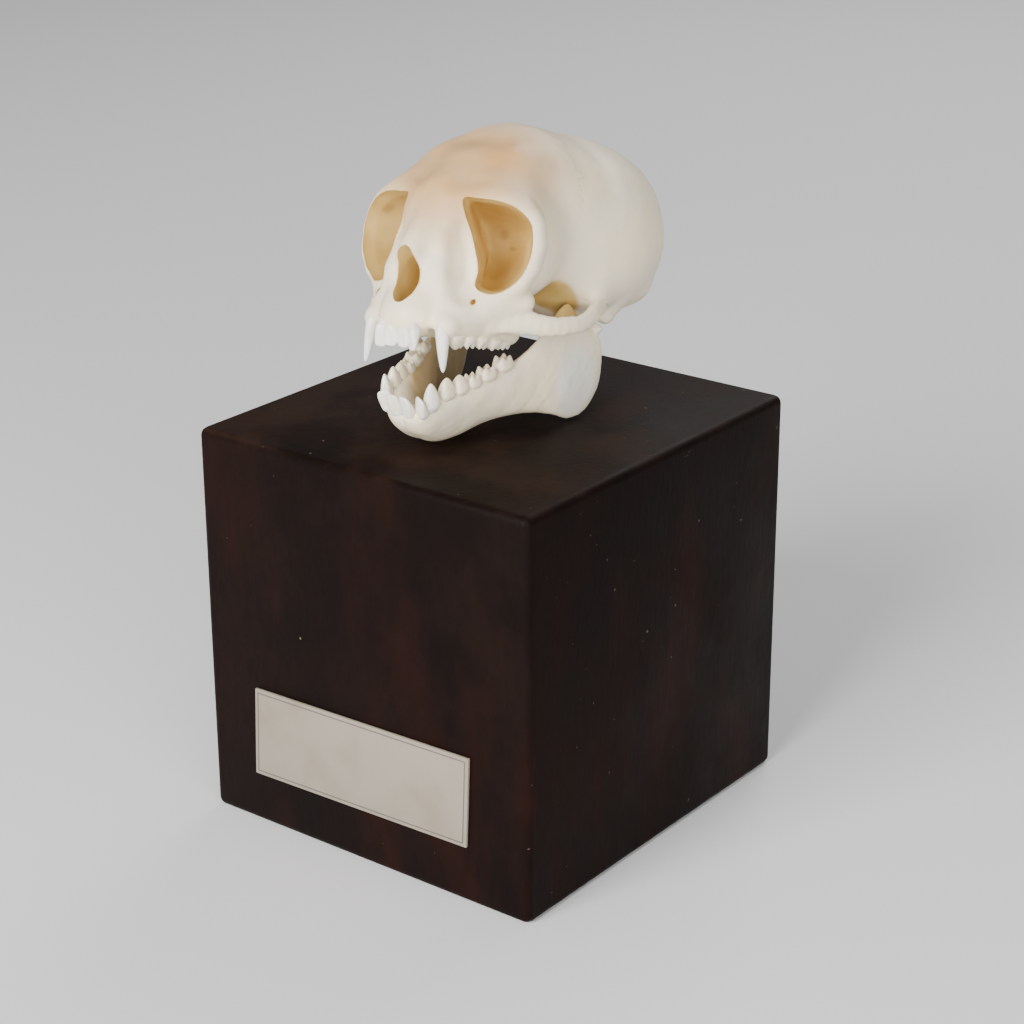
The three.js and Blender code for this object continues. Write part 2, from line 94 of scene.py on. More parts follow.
def ball(at: Point, size: Point, segments: int = 24, rings: int = 16) -> bpy.types.Object:
    """Adds a ball and stretches it in edit mode.

    Args:
        at: Its middle.
        size: Its three half sizes.
        segments: Faces round it.
        rings: Faces from pole to pole.

    Returns:
        The stretched ball, its place in its mesh.
    """
    to_object_mode()
    bpy.ops.mesh.primitive_uv_sphere_add(segments=segments, ring_count=rings, radius=1, location=at)
    obj = bpy.context.object
    bpy.ops.object.mode_set(mode="EDIT")
    bpy.ops.mesh.select_all(action="SELECT")
    bpy.ops.transform.resize(value=size)
    bpy.ops.object.mode_set(mode="OBJECT")
    return set_down(obj)


def rod(start: Point, end: Point, thick: tuple[float, float],
        sides: int = 20) -> bpy.types.Object:
    """Adds a tapered rod with a ball at each end.

    Args:
        start: The middle of its first end.
        end: The middle of its other end.
        thick: Its radius at each end.
        sides: Faces round it.

    Returns:
        The rod and its balls as one object.
    """
    a, b = Vector(start), Vector(end)
    to_object_mode()
    bpy.ops.mesh.primitive_cone_add(
        vertices=sides, radius1=thick[0], radius2=thick[1], depth=(b - a).length,
        location=(a + b) / 2, rotation=(b - a).to_track_quat("Z", "Y").to_euler(),
    )
    shaft = set_down(bpy.context.object)
    ends = [ball(start, (thick[0],) * 3), ball(end, (thick[1],) * 3)]
    return join([shaft, *ends])


def join(objects: list[bpy.types.Object]) -> bpy.types.Object:
    """Joins objects into the first of them.

    Args:
        objects: The objects to join.

    Returns:
        The one object that is left.
    """
    pick(*objects)
    bpy.ops.object.join()
    return bpy.context.object


def apply(obj: bpy.types.Object, kind: str, **settings: object) -> None:
    """Adds a modifier with these settings and applies it.

    Args:
        obj: The object to change.
        kind: The modifier's type.
        settings: Values for its properties.
    """
    pick(obj)
    modifier = obj.modifiers.new(kind.lower(), kind)
    for name, value in settings.items():
        setattr(modifier, name, value)
    bpy.ops.object.modifier_apply(modifier=modifier.name)


def remesh(obj: bpy.types.Object, voxel: float, smooth: int = 0) -> None:
    """Lays one even skin over all that an object holds.

    Args:
        obj: The object to skin.
        voxel: The size of the skin's faces.
        smooth: How many smoothing passes follow.
    """
    apply(obj, "REMESH", mode="VOXEL", voxel_size=voxel)
    if smooth:
        apply(obj, "SMOOTH", factor=0.5, iterations=smooth)


def cut(obj: bpy.types.Object, tool: bpy.types.Object) -> None:
    """Cuts a tool out of an object.

    Args:
        obj: The object to cut.
        tool: The closed shape to take away, which stays as it is.
    """
    apply(obj, "BOOLEAN", operation="DIFFERENCE", solver="EXACT", object=tool)


def points_of(obj: bpy.types.Object) -> np.ndarray:
    """Reads a mesh's points.

    Args:
        obj: The mesh object.

    Returns:
        An array with a row for each point.
    """
    flat = np.empty(len(obj.data.vertices) * 3)
    obj.data.vertices.foreach_get("co", flat)
    return flat.reshape(-1, 3)


def place_points(obj: bpy.types.Object, points: np.ndarray) -> None:
    """Moves a mesh's points.

    Args:
        obj: The mesh object.
        points: A row for each point.
    """
    obj.data.vertices.foreach_set("co", points.ravel())
    obj.data.update()


def face_outwards(obj: bpy.types.Object) -> None:
    """Merges a mesh's doubles and turns its faces outwards.

    Args:
        obj: A closed mesh object.
    """
    pick(obj)
    bpy.ops.object.mode_set(mode="EDIT")
    bpy.ops.mesh.select_all(action="SELECT")
    bpy.ops.mesh.remove_doubles(threshold=MERGE_WITHIN)
    bpy.ops.mesh.normals_make_consistent(inside=False)
    bpy.ops.object.mode_set(mode="OBJECT")


def shade(obj: bpy.types.Object, angle: float = 50) -> None:
    """Shades an object smooth, apart from its sharp edges.

    Args:
        obj: The object to shade.
        angle: The least angle, in degrees, of an edge that stays sharp.
    """
    pick(obj)
    bpy.ops.object.shade_smooth_by_angle(angle=math.radians(angle))


def mirrored(obj: bpy.types.Object) -> bpy.types.Object:
    """Makes an object's twin on the other side of the midline.

    Args:
        obj: The object to copy.

    Returns:
        The twin, with a mesh of its own.
    """
    pick(obj)
    bpy.ops.object.duplicate()
    twin = bpy.context.object
    twin.scale.x = -1
    set_down(twin)
    face_outwards(twin)
    return twin


def mark(obj: bpy.types.Object, name: str, values: np.ndarray) -> None:
    """Writes one number for each point of a mesh.

    Args:
        obj: The mesh object.
        name: The attribute's name, which materials read.
        values: A number for each point.
    """
    layer = obj.data.attributes.new(name, "FLOAT", "POINT")
    layer.data.foreach_set("value", values.astype(np.float32))


def mark_places(obj: bpy.types.Object, name: str) -> None:
    """Writes each point's own place, in the piece's millimetres, as a vector.

    Args:
        obj: The mesh object, before it is placed in the frame.
        name: The attribute's name, which materials read.
    """
    layer = obj.data.attributes.new(name, "FLOAT_VECTOR", "POINT")
    layer.data.foreach_set("vector", points_of(obj).astype(np.float32).ravel())


def normals_of(obj: bpy.types.Object) -> np.ndarray:
    """Reads a mesh's point normals.

    Args:
        obj: The mesh object.

    Returns:
        A row for each point.
    """
    flat = np.empty(len(obj.data.vertices) * 3)
    obj.data.vertex_normals.foreach_get("vector", flat)
    return flat.reshape(-1, 3)


def ramp(values: np.ndarray, low: float, high: float) -> np.ndarray:
    """Maps values smoothly from 0 at low to 1 at high."""
    share = np.clip((values - low) / (high - low), 0, 1)
    return share * share * (3 - 2 * share)


WAVES_IN_SET = 18


def roughen(obj: bpy.types.Object, waves: tuple[tuple[float, float], ...],
            seed: int) -> None:
    """Raises and lowers a skin a little, so that no part of it is perfectly smooth.

    Args:
        obj: The mesh object, in millimetres.
        waves: The length and the height of each set of waves.
        seed: Picks the waves' directions.
    """
    dice = np.random.default_rng(seed)
    points, normals = points_of(obj), normals_of(obj)
    height = np.zeros(len(points))
    for length, tall in waves:
        for _ in range(WAVES_IN_SET):
            way = dice.normal(size=3)
            way *= 2 * math.pi / length / np.linalg.norm(way)
            share = tall / math.sqrt(WAVES_IN_SET)
            height += share * np.sin(points @ way + dice.uniform(0, 2 * math.pi))
    place_points(obj, points + normals * height[:, None])


def near_surface(points: np.ndarray, tool: bpy.types.Object, reach: float) -> np.ndarray:
    """Tells which points lie on the skin of a tool.

    Args:
        points: A row for each point.
        tool: The mesh to measure to.
        reach: How far off its skin still counts.

    Returns:
        True for each point that lies within reach.
    """
    tree = BVHTree.FromPolygons(
        [v.co for v in tool.data.vertices], [p.vertices for p in tool.data.polygons],
    )
    low, high = points_of(tool).min(0) - reach, points_of(tool).max(0) + reach
    close = np.flatnonzero(np.all((points > low) & (points < high), axis=1))
    found = np.zeros(len(points), bool)
    for i in close:
        found[i] = tree.find_nearest(Vector(points[i]), reach)[0] is not None
    return found


def finish_piece(obj: bpy.types.Object, name: str, material: bpy.types.Material,
                 replaced: tuple[str, ...] = ()) -> None:
    """Names a piece, gives it its material and ties it to the frame.

    Args:
        obj: The finished mesh, its place in its points, in metres.
        name: The piece's name.
        material: Its finish.
        replaced: The CAD nodes that it stands for.
    """
    obj.name = name
    obj.data.name = name
    obj.data.materials.clear()
    obj.data.materials.append(material)
    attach(obj, "root")
    if replaced:
        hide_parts(*replaced)
    log.info("%s: %d faces", name, len(obj.data.polygons))


def curve_points(path: list[Point], places: np.ndarray, closed: bool = False) -> np.ndarray:
    """Samples a smooth curve through points that keeps tight round close ones.

    Args:
        path: The points that the curve runs through.
        places: Where to sample, from 0 at its start to 1 at its end.
        closed: Whether the curve runs back to its start.

    Returns:
        A row for each sample.
    """
    knots = np.array(path, float)
    if closed:
        padded = np.vstack([knots[-1], knots, knots[0], knots[1]])
        spans = len(knots)
    else:
        padded = np.vstack([2 * knots[0] - knots[1], knots, 2 * knots[-1] - knots[-2]])
        spans = len(knots) - 1
    reach = np.clip(places, 0, 1) * spans
    low = np.minimum(reach.astype(int), spans - 1)
    share = (reach - low)[:, None]
    p0, p1, p2, p3 = (padded[low + k] for k in range(4))
    d0, d1, d2 = (
        np.maximum(np.linalg.norm(b - a, axis=1), 1e-6)[:, None] ** 0.5
        for a, b in ((p0, p1), (p1, p2), (p2, p3))
    )
    m1 = ((p1 - p0) / d0 - (p2 - p0) / (d0 + d1) + (p2 - p1) / d1) * d1
    m2 = ((p2 - p1) / d1 - (p3 - p1) / (d1 + d2) + (p3 - p2) / d2) * d1
    s2, s3 = share**2, share**3
    return (
        (2 * s3 - 3 * s2 + 1) * p1 + (s3 - 2 * s2 + share) * m1
        + (3 * s2 - 2 * s3) * p2 + (s3 - s2) * m2
    )


# Clay: soft masses that run into one another


@dataclass(frozen=True)
class Egg:
    """An egg-shaped mass, with its half sizes."""

    at: Point
    size: Point
    blend: float

    def distance(self, points: np.ndarray) -> np.ndarray:
        """Measures how far points are outside the egg, below zero inside it."""
        offset = points - np.array(self.at)
        size = np.array(self.size)
        near = np.linalg.norm(offset / size, axis=1)
        steep = np.linalg.norm(offset / size**2, axis=1)
        return near * (near - 1) / np.maximum(steep, 1e-6)

    def lump(self) -> list[bpy.types.Object]:
        """Models the egg, and its twin if it is off the midline."""
        eggs = [ball(self.at, self.size, 32, 24)]
        if self.at[0] > 0:
            eggs.append(mirrored(eggs[0]))
        return eggs


@dataclass(frozen=True)
class Rod:
    """A tapered rod, and how many times taller than wide it is."""

    start: Point
    end: Point
    thick: tuple[float, float]
    blend: float
    tall: float = 1.0

    def distance(self, points: np.ndarray) -> np.ndarray:
        """Measures how far points are outside the rod, below zero inside it."""
        squash = np.array([1, 1, 1 / self.tall])
        start = np.array(self.start) * squash
        reach = np.array(self.end) * squash - start
        offset = points * squash - start
        share = np.clip(offset @ reach / max(reach @ reach, 1e-9), 0, 1)
        gap = np.linalg.norm(offset - share[:, None] * reach, axis=1)
        return gap - (self.thick[0] * (1 - share) + self.thick[1] * share)

    def lump(self) -> list[bpy.types.Object]:
        """Models the rod, and its twin if it is off the midline."""
        rods = [rod(self.start, self.end, self.thick)]
        if self.start[0] > 0:
            rods.append(mirrored(rods[0]))
        return rods


@dataclass
class Clay:
    """Masses that run together, less the soft hollows pressed into them."""

    masses: list[Egg | Rod]
    hollows: list[Egg | Rod]
    midline_softness: float = 0.25
    probe: float = 0.02
    longest_step: float = 0.35
    least_slope: float = 0.15

    def distance(self, points: np.ndarray) -> np.ndarray:
        """Measures how far points are outside the clay, below zero inside it."""
        folded = points.copy()
        folded[:, 0] = np.hypot(points[:, 0], self.midline_softness)
        best = np.full(len(points), np.inf)
        for mass in self.masses:
            following = mass.distance(folded)
            share = np.maximum(mass.blend - np.abs(best - following), 0) / mass.blend
            best = np.minimum(best, following) - share**2 * mass.blend / 4
        for hollow in self.hollows:
            following = -hollow.distance(folded)
            share = np.maximum(hollow.blend - np.abs(best - following), 0) / hollow.blend
            best = np.maximum(best, following) + share**2 * hollow.blend / 4
        return best

    def settle(self, points: np.ndarray, steps: int = 5) -> np.ndarray:
        """Draws points onto the clay's skin.

        Args:
            points: A row for each point near the skin.
            steps: How many times each point is drawn in.

        Returns:
            The moved points.
        """
        for _ in range(steps):
            here = self.distance(points)
            slope = np.empty_like(points)
            for axis in range(3):
                shift = np.zeros(3)
                shift[axis] = self.probe
                ahead = self.distance(points + shift)
                behind = self.distance(points - shift)
                slope[:, axis] = (ahead - behind) / (2 * self.probe)
            steep = np.maximum((slope**2).sum(1), self.least_slope)
            step = -(here / steep)[:, None] * slope
            length = np.maximum(np.linalg.norm(step, axis=1), 1e-9)
            points = points + step * np.minimum(1, self.longest_step / length)[:, None]
        return points

    def model(self, voxel: float) -> bpy.types.Object:
        """Models the masses, skins them and lets the skin settle.

        Args:
            voxel: The size of the skin's faces.

        Returns:
            The skin as one closed mesh object.
        """
        lumps = [piece for mass in self.masses for piece in mass.lump()]
        skin = join(lumps)
        remesh(skin, voxel, smooth=4)
        place_points(skin, self.settle(points_of(skin)))
        remesh(skin, voxel, smooth=2)
        return skin


# Pits: holes with a shaped mouth and a round bottom


@dataclass(frozen=True)
class Pit:
    """A hole pressed in along +y from a mouth on the x-z plane.

    The mouth is an oval, or a closed curve through the points of an outline. Past the mouth
    the plug widens by flare, over the share lip of its half length, so that it cuts clean.
    """

    at: Point
    turn: Point
    depth: float
    mouth: float
    half_width: float = 1.0
    half_height: float = 1.0
    outline_points: tuple[tuple[float, float], ...] = ()
    apex: tuple[float, float] = (0.0, 0.0)
    fullness: float = 0.5
    lip: float = 0.25
    flare: float = 1.06
    late_shift: float = 1.5

    def matrix(self) -> Matrix:
        """Gives the place and turn of the mouth."""
        turn = Euler([math.radians(angle) for angle in self.turn], "YXZ")
        return Matrix.Translation(self.at) @ turn.to_matrix().to_4x4()

    def outline(self, turn: np.ndarray) -> tuple[np.ndarray, np.ndarray]:
        """Gives the mouth's outline.

        Args:
            turn: Angles round the mouth.

        Returns:
            The outline's x and z.
        """
        if self.outline_points:
            knots = [(x, 0.0, z) for x, z in self.outline_points]
            ring = curve_points(knots, turn / (2 * math.pi) % 1, closed=True)
            return ring[:, 0], ring[:, 2]
        return self.half_width * np.cos(turn), self.half_height * np.sin(turn)

    def model(self, segments: int = 64, rings: int = 48) -> bpy.types.Object:
        """Models the pit as a closed plug that reaches out past its mouth.

        Args:
            segments: Faces round it.
            rings: Faces along it.

        Returns:
            The plug, in place.
        """
        plug = ball((0, 0, 0), (1, 1, 1), segments, rings)
        unit = points_of(plug)
        deep = unit[:, 2]
        turn = np.arctan2(unit[:, 1], unit[:, 0])
        ring = np.hypot(unit[:, 0], unit[:, 1])
        x, z = self.outline(turn)
        inside = deep > 0
        closing = self.flare * np.minimum(ring / math.sqrt(1 - self.lip**2), 1)
        outside = np.where(deep > -self.lip, self.flare, closing)
        full = np.where(inside, ring**self.fullness, outside)
        shift = np.where(inside, np.maximum(deep, 0) ** self.late_shift, 0)
        outwards = -self.mouth * np.minimum(-deep / self.lip, 1)
        place_points(plug, np.stack([
            x * full + self.apex[0] * shift,
            np.where(inside, self.depth * deep, outwards),
            z * full + self.apex[1] * shift,
        ], axis=1))
        plug.data.transform(self.matrix())
        face_outwards(plug)
        return plug


# The cranium


ORBIT = Pit(
    at=(7.1, -16.4, 8.3), turn=(-9, 0, 18), depth=9.2, mouth=6, apex=(-2.6, 0.6),
    outline_points=(
        (4.0, 0.4), (3.6, 2.4), (2.2, 3.7), (0.4, 4.35), (-1.9, 4.55), (-3.5, 4.45),
        (-3.2, 2.8), (-2.5, 1.0), (-1.9, -0.8), (-1.5, -2.6), (-1.6, -4.4), (0.3, -5.0),
        (2.5, -3.7), (3.6, -1.9),
    ),
)
ORBIT_RIM = 0.95
RIM_SET = 0.9
RIM_BLEND = 1.6
TEMPLE_PIT_AT = (7.6, -5.6, 1.6)
TEMPLE_PIT_SIZE = (2.6, 5.2, 3.4)
TEMPLE_PIT_CORE = 0.75
NOSE_OPENING = Pit(
    at=(0, -22.6, 4.6), turn=(-24, 0, 0), half_width=1.4, half_height=2.8, depth=7, mouth=4,
    fullness=0.4,
)
CHEEK_HOLE = Pit(
    at=(6.8, -20.4, 2.3), turn=(0, 0, 20), half_width=0.3, half_height=0.3, depth=2.2, mouth=2,
)
CORD_HOLE = Pit(
    at=(0, 11.0, 1.2), turn=(125, 0, 0), half_width=2.7, half_height=2.2, depth=3.2, mouth=5,
)

BRAIN_MASSES = [
    Egg((0, 4.8, 8.7), (12.6, 14.8, 10.7), 2),
    Egg((0, -3.4, 10.1), (10.7, 10.4, 10.5), 2.2),
    Egg((6.8, 3.4, 5.6), (5.7, 8.8, 5.8), 3),
    Egg((0, 11.0, 6.4), (9.8, 7.6, 6.4), 3),
    Egg((7.6, 9.0, 2.4), (3.0, 4.4, 2.4), 1.5),
    Egg((0, 2.5, 1.9), (3.6, 10, 2.6), 2),
    Egg((5.0, 1.6, 0.6), (2.8, 4.9, 2.8), 1),
    Rod((8.6, 2.6, 2.2), (11.0, -1.6, 1.7), (1.3, 0.9), 1.2),
    Egg((9.0, -0.2, 3.2), (2.2, 3.2, 2.0), 1.8),
    Rod((9.2, 4.6, 1.6), (9.0, 3.6, -0.6), (1.5, 1.0), 1.2),
]
FACE_MASSES = [
    Egg((6.0, -11.4, 8.2), (5.0, 6.2, 6.4), 2),
    Rod((5.6, -13.4, 12.2), (4.6, -9.4, 15.0), (2.4, 2.6), 3),
    Rod((0, -15.4, 13.2), (0, -12.0, 15.0), (2.4, 2.8), 3),
    Rod((0.6, -15.1, 13.3), (4.4, -13.4, 13.1), (1.5, 1.4), 2.5),
    Egg((0, -17.4, 1.6), (4.8, 6.6, 3.9), 2),
    Egg((0, -22.2, 0.2), (3.4, 2.3, 2.2), 1.2),
    Egg((4.6, -16.6, 1.2), (2.6, 5.0, 3.2), 1.2),
    Rod((0, -17.0, 12.2), (0, -21.9, 7.0), (1.9, 1.6), 2.2),
    Rod((2.0, -17.0, 12.0), (2.5, -20.2, 5.0), (1.7, 1.9), 1.5),
    Rod((3.2, -18.6, 7.0), (3.8, -19.8, 2.6), (1.4, 1.2), 1.5),
    Rod((3.0, -20.4, 4.0), (4.1, -21.8, -0.3), (0.8, 0.85), 0.9),
    Rod((6.6, -17.0, 1.7), (9.2, -13.8, 2.2), (1.5, 1.3), 1.4),
    Rod((4.7, -21.4, -0.3), (5.9, -11.8, -1.7), (1.35, 1.45), 0.8),
    Rod((3.0, -9.6, 0.8), (3.3, -6.2, -1.6), (1.1, 0.7), 0.8),
]
ARCH_PATH = [
    (7.0, -16.4, 0.4), (9.6, -13.4, -0.1), (11.4, -10.6, -0.6),
    (12.3, -6.8, -0.4), (11.9, -3.2, 0.6), (10.2, 0.2, 1.6),
]
ARCH_THICK = [0.9, 0.75, 0.65, 0.6, 0.65, 0.8]
ARCH_TALL = 1.9
ARCH_ROOT_BLEND = 0.8
ARCH_BLEND = 0.15
CRANIUM_WAVES = ((9.0, 0.045), (3.5, 0.018), (1.3, 0.008))
HOLLOWS = [
    Rod((4.7, -19.5, 9.4), (6.0, -20.1, 3.6), (1.1, 1.1), 1.8),
    Rod((3.5, -24.2, -1.5), (3.4, -21.6, -1.5), (0.8, 0.8), 0.6),
]


@dataclass
class Pose:
    """A place over the block and a turn, in degrees."""

    y: float
    above_block: float
    yaw: float
    roll: float = 0.0
    pitch: float = 0.0

    def matrix(self, block_top: float) -> Matrix:
        """Turns the piece's own millimetres into the frame's metres.

        Args:
            block_top: The height of the block's upper face, in metres.

        Returns:
            The matrix that places the piece.
        """
        turn = (
            Matrix.Rotation(math.radians(self.yaw), 4, "Z")
            @ Matrix.Rotation(math.radians(-self.roll), 4, "Y")
            @ Matrix.Rotation(math.radians(-self.pitch), 4, "X")
        )
        height = block_top + self.above_block * MM
        return Matrix.Translation((0, self.y * MM, height)) @ turn @ Matrix.Scale(MM, 4)


CRANIUM_POSE = Pose(y=5, above_block=11.5, yaw=4, roll=3.5, pitch=10)
JAW_POSE = Pose(y=5, above_block=0.3, yaw=4)


@dataclass
class Cranium:
    """The braincase, face and cheek arches as one bone."""

    voxel: float = 0.26
    cavity_reach: float = 0.03
    arch_spans: int = 15

    def rim(self) -> list[Rod]:
        """Lays a ring of rods round the mouth of the left orbit."""
        turned = ORBIT.matrix()
        ring = [tuple(turned @ Vector((x, RIM_SET, z))) for x, z in ORBIT.outline_points]
        thick = (ORBIT_RIM, ORBIT_RIM)
        return [Rod(a, b, thick, RIM_BLEND) for a, b in zip(ring, ring[1:] + ring[:1])]

    def arch(self) -> list[Rod]:
        """Lays the left cheek arch as tall, thin rods."""
        places = np.linspace(0, 1, self.arch_spans + 1)
        path = [tuple(point) for point in curve_points(ARCH_PATH, places)]
        thick = np.interp(places, np.linspace(0, 1, len(ARCH_THICK)), ARCH_THICK)
        blends = [ARCH_BLEND] * self.arch_spans
        blends[0] = blends[-1] = ARCH_ROOT_BLEND
        spans = zip(path, path[1:], thick, thick[1:], blends)
        return [Rod(a, b, (c, d), blend, ARCH_TALL) for a, b, c, d, blend in spans]

    def build(self, block_top: float) -> bpy.types.Object:
        """Models the bone and cuts its openings.

        Args:
            block_top: The height of the block's upper face, in metres.

        Returns:
            The bone in the frame's metres, with its cavities marked for painted amber shade.
        """
        masses = [*BRAIN_MASSES, *FACE_MASSES, *self.rim(), *self.arch()]
        bone = Clay(masses, HOLLOWS).model(self.voxel)
        roughen(bone, CRANIUM_WAVES, seed=4)
        tools = [NOSE_OPENING.model(), CORD_HOLE.model(32, 24)]
        for pit in (ORBIT, CHEEK_HOLE):
            left = pit.model()
            tools += [left, mirrored(left)]
        for tool in tools:
            cut(bone, tool)
        # The walls of the openings and the temple pit get the amber mask. It paints warm shade and
        # light through thin bone, and is partly the thin bone's own tone.
        points = points_of(bone)
        hollow = np.zeros(len(points), bool)
        for tool in tools:
            hollow |= near_surface(points, tool, self.cavity_reach)
            bpy.data.objects.remove(tool)
        folded = np.abs(points * [1, 0, 0]) + points * [0, 1, 1]
        depth = (folded - TEMPLE_PIT_AT) / np.array(TEMPLE_PIT_SIZE)
        temple = 1 - ramp(np.linalg.norm(depth, axis=1), TEMPLE_PIT_CORE, 1.0)
        mark(bone, "amber_shade", np.maximum(hollow, temple))
        mark_places(bone, "place")
        bone.data.transform(CRANIUM_POSE.matrix(block_top))
        shade(bone)
        return bone


# The jaw


JAW_LOWER = [
    (-0.3, -18.1, 1.4), (0.9, -17.8, 1.0), (1.9, -16.9, 1.1), (4.0, -13.4, 2.0),
    (6.1, -9.4, 2.0), (7.5, -6.2, 1.2), (8.4, -3.0, -0.15), (8.9, -0.5, 0.3),
    (9.2, 1.6, 2.5), (9.1, 2.2, 5.4), (8.7, 1.9, 8.0),
]
JAW_UPPER = [
    (-0.3, -23.5, 5.1), (1.3, -23.3, 5.2), (2.7, -21.8, 6.3), (3.8, -18.5, 7.0),
    (5.0, -14.0, 7.5), (6.0, -10.2, 8.4), (7.2, -7.6, 10.4), (8.3, -3.4, 13.6),
    (8.6, -1.8, 11.6), (8.7, 0.2, 9.8), (8.6, 1.2, 9.6),
]
JAW_HALF_THICK = [1.6, 1.6, 1.5, 1.35, 1.15, 0.9, 0.7, 0.55, 0.55, 0.65, 0.9]
CONDYLE_AT = (8.1, 1.6, 9.4)
CONDYLE_SIZE = (1.8, 0.95, 0.85)
JAW_WAVES = ((6.0, 0.035), (2.2, 0.016), (1.0, 0.007))


@dataclass
class Jaw:
    """The lower jaw: two halves of rungs from its lower to its upper edge.

    The last fields are ramps that mark the painted amber shade on its inner side and on the
    coronoid's tip:
    how far inwards the bone has to face, how far back it starts, how low its floor lies, and where
    the coronoid's tip starts.
    """

    voxel: float = 0.18
    segments: int = 48
    rings: int = 150
    square: float = 0.8
    blunt_end: float = 9
    look_ahead: float = 0.02
    middle_y: float = -11
    inner_strength: float = 0.75
    inward: tuple[float, float] = (0.15, 0.6)
    backward: tuple[float, float] = (-21, -18)
    low: tuple[float, float] = (-4.6, -3.4)
    coronoid: tuple[float, float] = (10.6, 12.2)

    def half(self) -> bpy.types.Object:
        """Models the left half, from the midline back to the joint."""
        piece = ball((0, 0, 0), (1, 1, 1), self.segments, self.rings)
        unit = points_of(piece)
        places = np.arccos(np.clip(unit[:, 2], -1, 1)) / math.pi
        turn = np.arctan2(unit[:, 1], unit[:, 0])
        full = np.minimum(np.hypot(unit[:, 0], unit[:, 1]) * self.blunt_end, 1) ** 0.5
        low, high = curve_points(JAW_LOWER, places), curve_points(JAW_UPPER, places)
        rung = (high - low) / 2
        ahead = np.minimum(places + self.look_ahead, 1)
        behind = np.maximum(places - self.look_ahead, 0)
        onward = (
            curve_points(JAW_LOWER, ahead) + curve_points(JAW_UPPER, ahead)
            - curve_points(JAW_LOWER, behind) - curve_points(JAW_UPPER, behind)
        )
        outward = np.cross(onward, rung)
        outward /= np.linalg.norm(outward, axis=1)[:, None]
        thick = np.interp(places, np.linspace(0, 1, len(JAW_HALF_THICK)), JAW_HALF_THICK)
        up = np.sign(np.cos(turn)) * np.abs(np.cos(turn)) ** self.square
        out = np.sign(np.sin(turn)) * np.abs(np.sin(turn)) ** self.square
        place_points(piece, (low + high) / 2 + rung * (up * full)[:, None]
                     + outward * (out * full * thick)[:, None])
        face_outwards(piece)
        return piece

    def build(self, block_top: float) -> bpy.types.Object:
        """Models the whole jaw.

        Args:
            block_top: The height of the block's upper face, in metres.

        Returns:
            The jaw in the frame's metres, with the painted amber shade of its inner side and
            coronoid tip marked.
        """
        half = self.half()
        knob = ball(CONDYLE_AT, CONDYLE_SIZE)
        bone = join([half, mirrored(half), knob, mirrored(knob)])
        remesh(bone, self.voxel, smooth=6)
        roughen(bone, JAW_WAVES, seed=9)
        points = points_of(bone)
        points[:, 2] = np.maximum(points[:, 2], 0)
        place_points(bone, points)
        # Painted shade: the inner side, towards the back and on the floor, and the coronoid's tip
        # get the amber mask.
        normals = normals_of(bone)
        inward = -np.stack([points[:, 0], points[:, 1] - self.middle_y], axis=1)
        inward /= np.linalg.norm(inward, axis=1)[:, None]
        facing = ramp((inward * normals[:, :2]).sum(1), *self.inward)
        behind = ramp(points[:, 1], *self.backward)
        floor = ramp(-points[:, 2], *self.low)
        inner = self.inner_strength * facing * np.maximum(behind, floor)
        mark(bone, "amber_shade", np.maximum(inner, ramp(points[:, 2], *self.coronoid)))
        mark(bone, "jaw", np.ones(len(points)))
        mark_places(bone, "place")
        bone.data.transform(JAW_POSE.matrix(block_top))
        shade(bone)
        return bone


# Teeth


@dataclass(frozen=True)
class Profile:
    """How a crown narrows and shortens from its neck to its tip, and how its tip closes."""

    narrow: float
    shorten: float
    close: float
    narrow_late: float = 1.0
    shorten_late: float = 1.0
    neck: float = 1.0
    corner: float = 0.7


class Crown(Enum):
    """The kinds of tooth crown."""

    CHISEL = Profile(0.72, -0.12, 0.25, neck=0.92)
    FANG = Profile(0.5, 0.5, 0.35, narrow_late=1.2, shorten_late=1.2, corner=0.85)
    POINTED = Profile(0.45, 0.35, 0.6, shorten_late=1.5)
    BROAD = Profile(0.18, 0.18, 0.25)


@dataclass(frozen=True)
class Tooth:
    """One tooth: its neck, its crown's sizes, its lean and splay, and its kind."""

    at: Point
    along: float
    across: float
    height: float
    lean: float
    splay: float
    kind: Crown


UPPER_ROW = [
    Tooth((0.85, -23.8, -0.8), 1.9, 1.3, 2.0, 8, 0, Crown.CHISEL),
    Tooth((2.1, -23.9, -0.8), 1.5, 1.3, 2.2, 6, 0, Crown.CHISEL),
    Tooth((4.6, -22.2, -0.4), 1.6, 1.5, 4.8, 5, 7, Crown.FANG),
    Tooth((5.1, -20.4, -1.4), 1.9, 1.7, 1.5, 0, 0, Crown.POINTED),
    Tooth((5.4, -18.7, -1.6), 1.9, 2.0, 1.4, 0, 0, Crown.BROAD),
    Tooth((5.7, -16.9, -1.9), 2.0, 2.2, 1.2, 0, 0, Crown.BROAD),
    Tooth((5.9, -14.8, -2.3), 2.3, 2.4, 1.1, 0, 0, Crown.BROAD),
    Tooth((6.0, -12.8, -2.6), 1.9, 1.8, 0.9, 0, 0, Crown.BROAD),
]
LOWER_ROW = [
    Tooth((0.8, -23.2, 4.9), 1.7, 1.3, 2.6, 30, 0, Crown.CHISEL),
    Tooth((2.2, -22.8, 5.1), 1.8, 1.4, 2.2, 24, 8, Crown.CHISEL),
    Tooth((2.95, -22.1, 5.9), 1.9, 1.5, 2.7, 8, 3, Crown.POINTED),
    Tooth((3.5, -20.1, 6.6), 2.1, 1.6, 2.1, 3, 3, Crown.POINTED),
    Tooth((4.0, -18.3, 6.8), 2.0, 1.8, 1.8, 2, 0, Crown.POINTED),
    Tooth((4.4, -16.5, 7.0), 2.0, 1.9, 1.4, 0, 0, Crown.BROAD),
    Tooth((4.9, -14.5, 7.4), 2.5, 2.1, 1.4, 0, 0, Crown.BROAD),
    Tooth((5.5, -12.1, 8.0), 2.5, 2.0, 1.5, 0, 0, Crown.BROAD),
]
